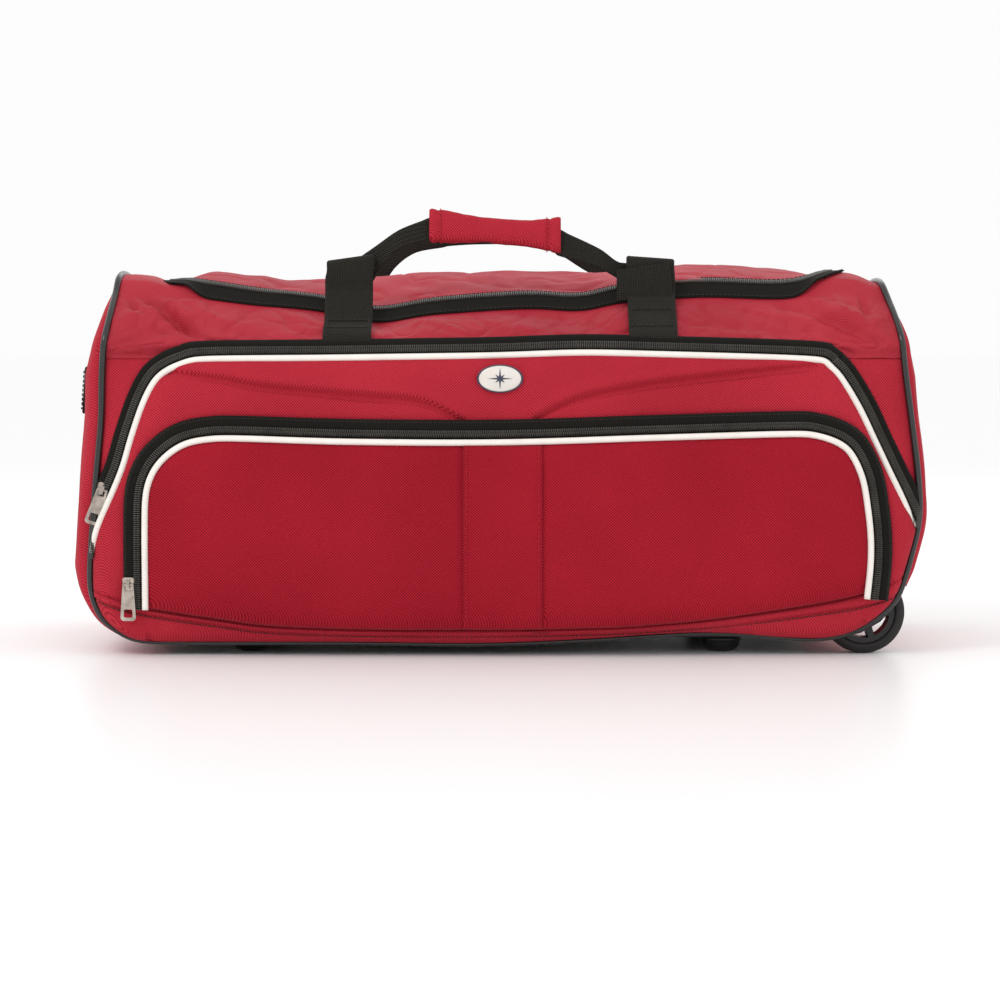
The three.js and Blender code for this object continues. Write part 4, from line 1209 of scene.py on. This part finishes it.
def back_low(x):
    """The back straps, sewn down the whole back."""
    on = [top_surface(x, w) for w in (4.8, 4.5)]
    down = [[(x, BACK_Y + out, z), STRAP, (1, 0, 0), (0, 1, 0)]
            for out, z in ((3.6, 14), (8.2, 60), (8.8, 130), (7.6, 205))]
    return down + [
        [(x, BACK_Y + 3.8, 247), STRAP, (1, 0, 0), (0, 1, 0.2)],
        [(x, on[0][1] + 2.5, on[0][2] + 3.0), STRAP, (1, 0, 0), (0, 0.55, 0.83)],
        [(x, on[1][1] + 2.0, on[1][2] + 3.2), STRAP, (1, 0, 0), (0, 0.8, 0.6)],
    ]


handle_webbing("front_carry_webbing", "front_handle", -1, FRONT_PIVOT, front_low,
               ("front_handle_webbing", "front_left_anchor", "front_right_anchor"), FRONT_LEGS,
               [(-48, 335), (-20, 333.5), (15, 331.5), (42, 326.5)])
handle_webbing("back_carry_webbing", "back_handle", 1, BACK_PIVOT, back_low,
               ("back_handle_webbing", "back_left_anchor", "back_right_anchor"), BACK_LEGS,
               [(-42, 337), (-15, 338.5), (22, 338), (46, 334)])


def fold_over():
    """The doubled end of webbing sewn over the front handle's right leg."""
    stations = [
        [(116, FRONT_PIVOT - 5.6, 279), 44, (1, 0, 0.04), (0, -1, 0)],
        [(115.5, FRONT_PIVOT - 5.2, 288), 44, (1, 0, 0.05), (0, -1, 0)],
        [(115, FRONT_PIVOT - 4.9, 298), 43, (1, 0, 0.1), (0, -1, 0)],
        [(114.5, FRONT_PIVOT - 4.6, 305), 42, (0.99, 0, 0.14), (0, -1, 0.1)],
    ]
    piece = ribbon("front_carry_webbing_fold", stations, thick=1.8)
    assign(piece)
    blend_handle(piece)


def strap_stitches():
    """Boxes of stitches where the webbing is sewn down on the slope."""
    for side, x in zip(("left", "right"), FRONT_LEGS):
        low, high = top_surface(x, 1.12), top_surface(x, 1.5)
        box = ((-16, low), (16, low), (16, high), (-16, high), (-16, low))
        path = resample([[x + dx, end[1] - 3.6, end[2] + 4.0] for dx, end in box], 2.0)
        row = stitches(f"front_{side}_anchor_stitch", path, (0, -0.6, 0.8), BLACK_THREAD, size=0.4, lift=0.3)
        assign(row, "bag")


fold_over()
strap_stitches()


def handle_wrap():
    """The padded cloth sleeve round the front grip: waisted, with flared hemmed ends."""
    stations = np.array([
        # x, middle z, half height, half depth
        (-54.5, 337.5, 12.6, 6.0),
        (-52.5, 337.6, 13.6, 7.6),
        (-49.5, 337.3, 13.2, 7.8),
        (-38, 336.2, 12.4, 8.2),
        (-12, 334.3, 10.3, 7.8),
        (10, 332.2, 10.2, 7.8),
        (28, 330.6, 11.2, 8.0),
        (42, 330.0, 13.6, 8.0),
        (47.5, 329.8, 14.6, 7.4),
        (49.5, 329.8, 14.0, 5.6),
    ])
    line = spline(stations, 1.2)
    count = 44
    angle = turns(count)
    cos, sin = np.cos(angle), np.sin(angle)
    round_y, round_z = np.sign(cos) * np.abs(cos) ** 0.75, np.sign(sin) * np.abs(sin) ** 0.8
    points = np.stack([
        np.broadcast_to(line[:, :1], (len(line), count)),
        FRONT_PIVOT + line[:, 3:4] * round_y[None],
        line[:, 1:2] + line[:, 2:3] * round_z[None],
    ], axis=-1)
    flat = points.reshape(-1, 3)
    centre = np.stack([flat[:, 0], np.full(len(flat), FRONT_PIVOT), np.repeat(line[:, 1], count)], axis=1)
    push = 0.9 * crumple(flat * MM, 45, 3, 7.0)
    seam = np.abs(((np.tile(angle, len(line)) + math.pi) % (2 * math.pi)) - math.pi * 0.42)
    push -= 1.2 * np.exp(-((seam / 0.09) ** 2))
    for hem in (-47.5, 41.0):
        push -= 0.9 * np.exp(-(((flat[:, 0] - hem) / 1.1) ** 2))
    flat = flat + unit(flat - centre) * push[:, None]
    piece = solid("grip_wrap", flat, tube_faces(len(line), count), PANEL)
    assign(piece, "front_handle", ["handle_wrap"])
    for label, at in (("left", -45.5), ("right", 38.5)):
        middle, high, deep = (np.interp(at, line[:, 0], line[:, k]) for k in (1, 2, 3))
        round_it = np.linspace(-0.48, 0.48, 40) * math.pi
        path = np.stack([np.full(40, at), FRONT_PIVOT - (deep + 0.2) * np.cos(round_it) ** 0.75,
                         middle + (high + 0.2) * np.sign(round_it) * np.abs(np.sin(round_it)) ** 0.8], axis=1)
        out = unit(path - np.array([at, FRONT_PIVOT, middle]))
        row = stitches(f"grip_wrap_{label}_stitch", path, out, THREAD, lift=0.4)
        assign(row, "front_handle")


handle_wrap()


def gusset_x(y, z):
    """x of the left end panel's outer face."""
    return edge_left(z) - gusset_swell(-1, z, (y - FRONT_Y) / (BACK_Y - FRONT_Y)) - 1.0


def end_handle():
    low, high = box_mm("end_handle")
    _, mid_y, mid_z = (low + high) / 2
    half = (high[1] - low[1]) / 2
    stations = []
    for share, lift in ((-1, 2.6), (-0.86, 2.8), (-0.7, 3.2), (-0.45, 6.5), (0, 9),
                        (0.45, 7), (0.7, 3.6), (0.86, 3.0), (1, 2.8)):
        y = mid_y + share * half
        stations.append([(gusset_x(y, mid_z) - lift, y, mid_z), STRAP, (0.07, 0, 1), (-1, 0, 0.07)])
    assign(ribbon("end_handle_webbing", stations), "bag", ["end_handle"])
    for label, sign in (("front", -1), ("back", 1)):
        corners = []
        for dy, dz in ((-7, -15), (7, -15), (7, 15), (-7, 15), (-7, -15), (7, 15)):
            y = mid_y + sign * half * 0.86 + dy
            corners.append([gusset_x(y, mid_z) - 4.6 + dz * 0.07, y, mid_z + dz])
        row = stitches(f"end_handle_{label}_stitch", resample(corners, 2.0), (-1.0, 0, 0.07), BLACK_THREAD,
                       size=0.4, lift=0.2)
        assign(row, "bag")


end_handle()


# ---- Badge ----
BADGE_LIFT = 3.2                   # how far the badge stands off its place in the CAD
RIM_PROFILE = [(0.96, -1.0), (1.0, 0.0), (1.0, 1.4), (0.985, 1.9), (0.95, 2.0), (0.925, 1.7), (0.92, 0.6)]
FACE_PROFILE = [(0.915, 0.2), (0.915, 1.5), (0.9, 1.75), (0.8, 2.05), (0.5, 2.35), (0.2, 2.45), (0.05, 2.46)]
SPIKES = 8


def badge():
    low, high = box_mm("badge")
    x, y, z = 1.4, high[1] - BADGE_LIFT, (low[2] + high[2]) / 2
    half_x, half_z = (high[0] - low[0]) / 2, (high[2] - low[2]) / 2
    angle = turns(72)
    for name, profile, material, nodes in (("badge_rim", RIM_PROFILE, INK, ["badge"]),
                                           ("badge_face", FACE_PROFILE, ENAMEL, ())):
        rings = [np.stack([x + half_x * share * np.cos(angle), np.full(len(angle), y - height),
                           z + half_z * share * np.sin(angle)], axis=1) for share, height in profile]
        piece = solid(name, np.vstack(rings), tube_faces(len(profile), len(angle)), material)
        assign(piece, "outer_pocket", nodes)
    points = []
    for height in (2.1, 2.62):
        for k in range(SPIKES * 2):
            radius = half_z * ((0.74 if k % 4 == 0 else 0.42) if k % 2 == 0 else 0.17)
            turn = k / (SPIKES * 2) * 2 * math.pi
            points.append((x + radius * math.cos(turn) * 1.15, y - height, z + radius * math.sin(turn)))
    piece = solid("badge_star", points, tube_faces(2, SPIKES * 2), INK, smooth=False)
    assign(piece, "outer_pocket")


badge()

# ---- Wheels, feet and hard parts ----
def lathe(name, profile, centre, axis, material, sides=96):
    """Turns [radius, along] pairs about an axis through centre; the profile closes on itself or the axis."""
    points = []
    for radius, along in profile:
        for a in turns(sides):
            across, up = radius * math.cos(a), radius * math.sin(a)
            points.append(np.array(centre) + ((across, along, up) if axis == "y" else (across, up, along)))
    closed = profile[0][0] > 0 and profile[-1][0] > 0
    faces = tube_faces(len(profile), sides, closed, capped=False)
    return solid(name, points, faces, material, merge=True)


def wheels():
    for side in ("front", "back"):
        low, high = box_mm(f"tyre_{side}")
        centre = (low + high) / 2
        radius, half = (high[2] - low[2]) / 2, (high[1] - low[1]) / 2
        bore = radius - 8
        shoulder = [(bore, half - 1), (bore + 1, half), (radius - 5, half), (radius - 3.6, half - 0.5),
                    (radius - 1.2, half - 2.2), (radius - 0.2, half - 4.5)]
        profile = [(r, -along) for r, along in shoulder]
        for groove in (-3.2, 3.2):
            profile += [(radius, groove - 1.2), (radius - 0.9, groove - 0.6),
                        (radius - 0.9, groove + 0.6), (radius, groove + 1.2)]
        piece = lathe(f"{side}_tyre_moulded", profile + shoulder[::-1], centre, "y", RUBBER)
        assign(piece, f"wheel_{side}", [f"tyre_{side}"])
        bevelled(f"hub_{side}", PLASTIC, 0.6)
        bevelled(f"axle_{side}", STEEL, 0.4)
        bevelled(f"wheel_housing_{side}", PLASTIC, 0.5)
        face = box_mm(f"hub_{side}")[0, 1]
        profile = [(0.0, face - 1.6), (3.5, face - 1.5), (6.0, face - 0.9), (7.2, face + 0.1),
                   (7.2, face + 0.6), (0.0, face + 0.6)]
        cap = lathe(f"{side}_hub_cap", profile, (centre[0], 0, centre[2]), "y", PLASTIC, 48)
        assign(cap, f"wheel_{side}")


def feet():
    for node in ("foot_left_front", "foot_left_back", "foot_right_front", "foot_right_back"):
        low, high = box_mm(node)
        centre = (low + high) / 2
        radius, top = (high[0] - low[0]) / 2, high[2] + 2.5
        profile = [(0.0, 0.02)] + [(radius * share, z) for share, z in (
            (0.45, 0.02), (0.62, 0.5), (0.78, 1.9), (0.9, 4.0), (0.97, 6.6), (1, 8.6), (1.06, 9.2), (1.06, top),
        )] + [(0.0, top)]
        piece = lathe(f"{node}_moulded", profile, (centre[0], centre[1], 0), "z", PLASTIC, 56)
        assign(piece, "bag", [node])


wheels()
feet()
for name in ("outer", "inner", "main"):
    bevelled(f"{name}_zip_slider", NICKEL, 0.4)
    bevelled(f"{name}_zip_pull", NICKEL, 0.25)
for name in ("base_board", "wheel_end_board"):
    bevelled(name, BOARD, 0.3)
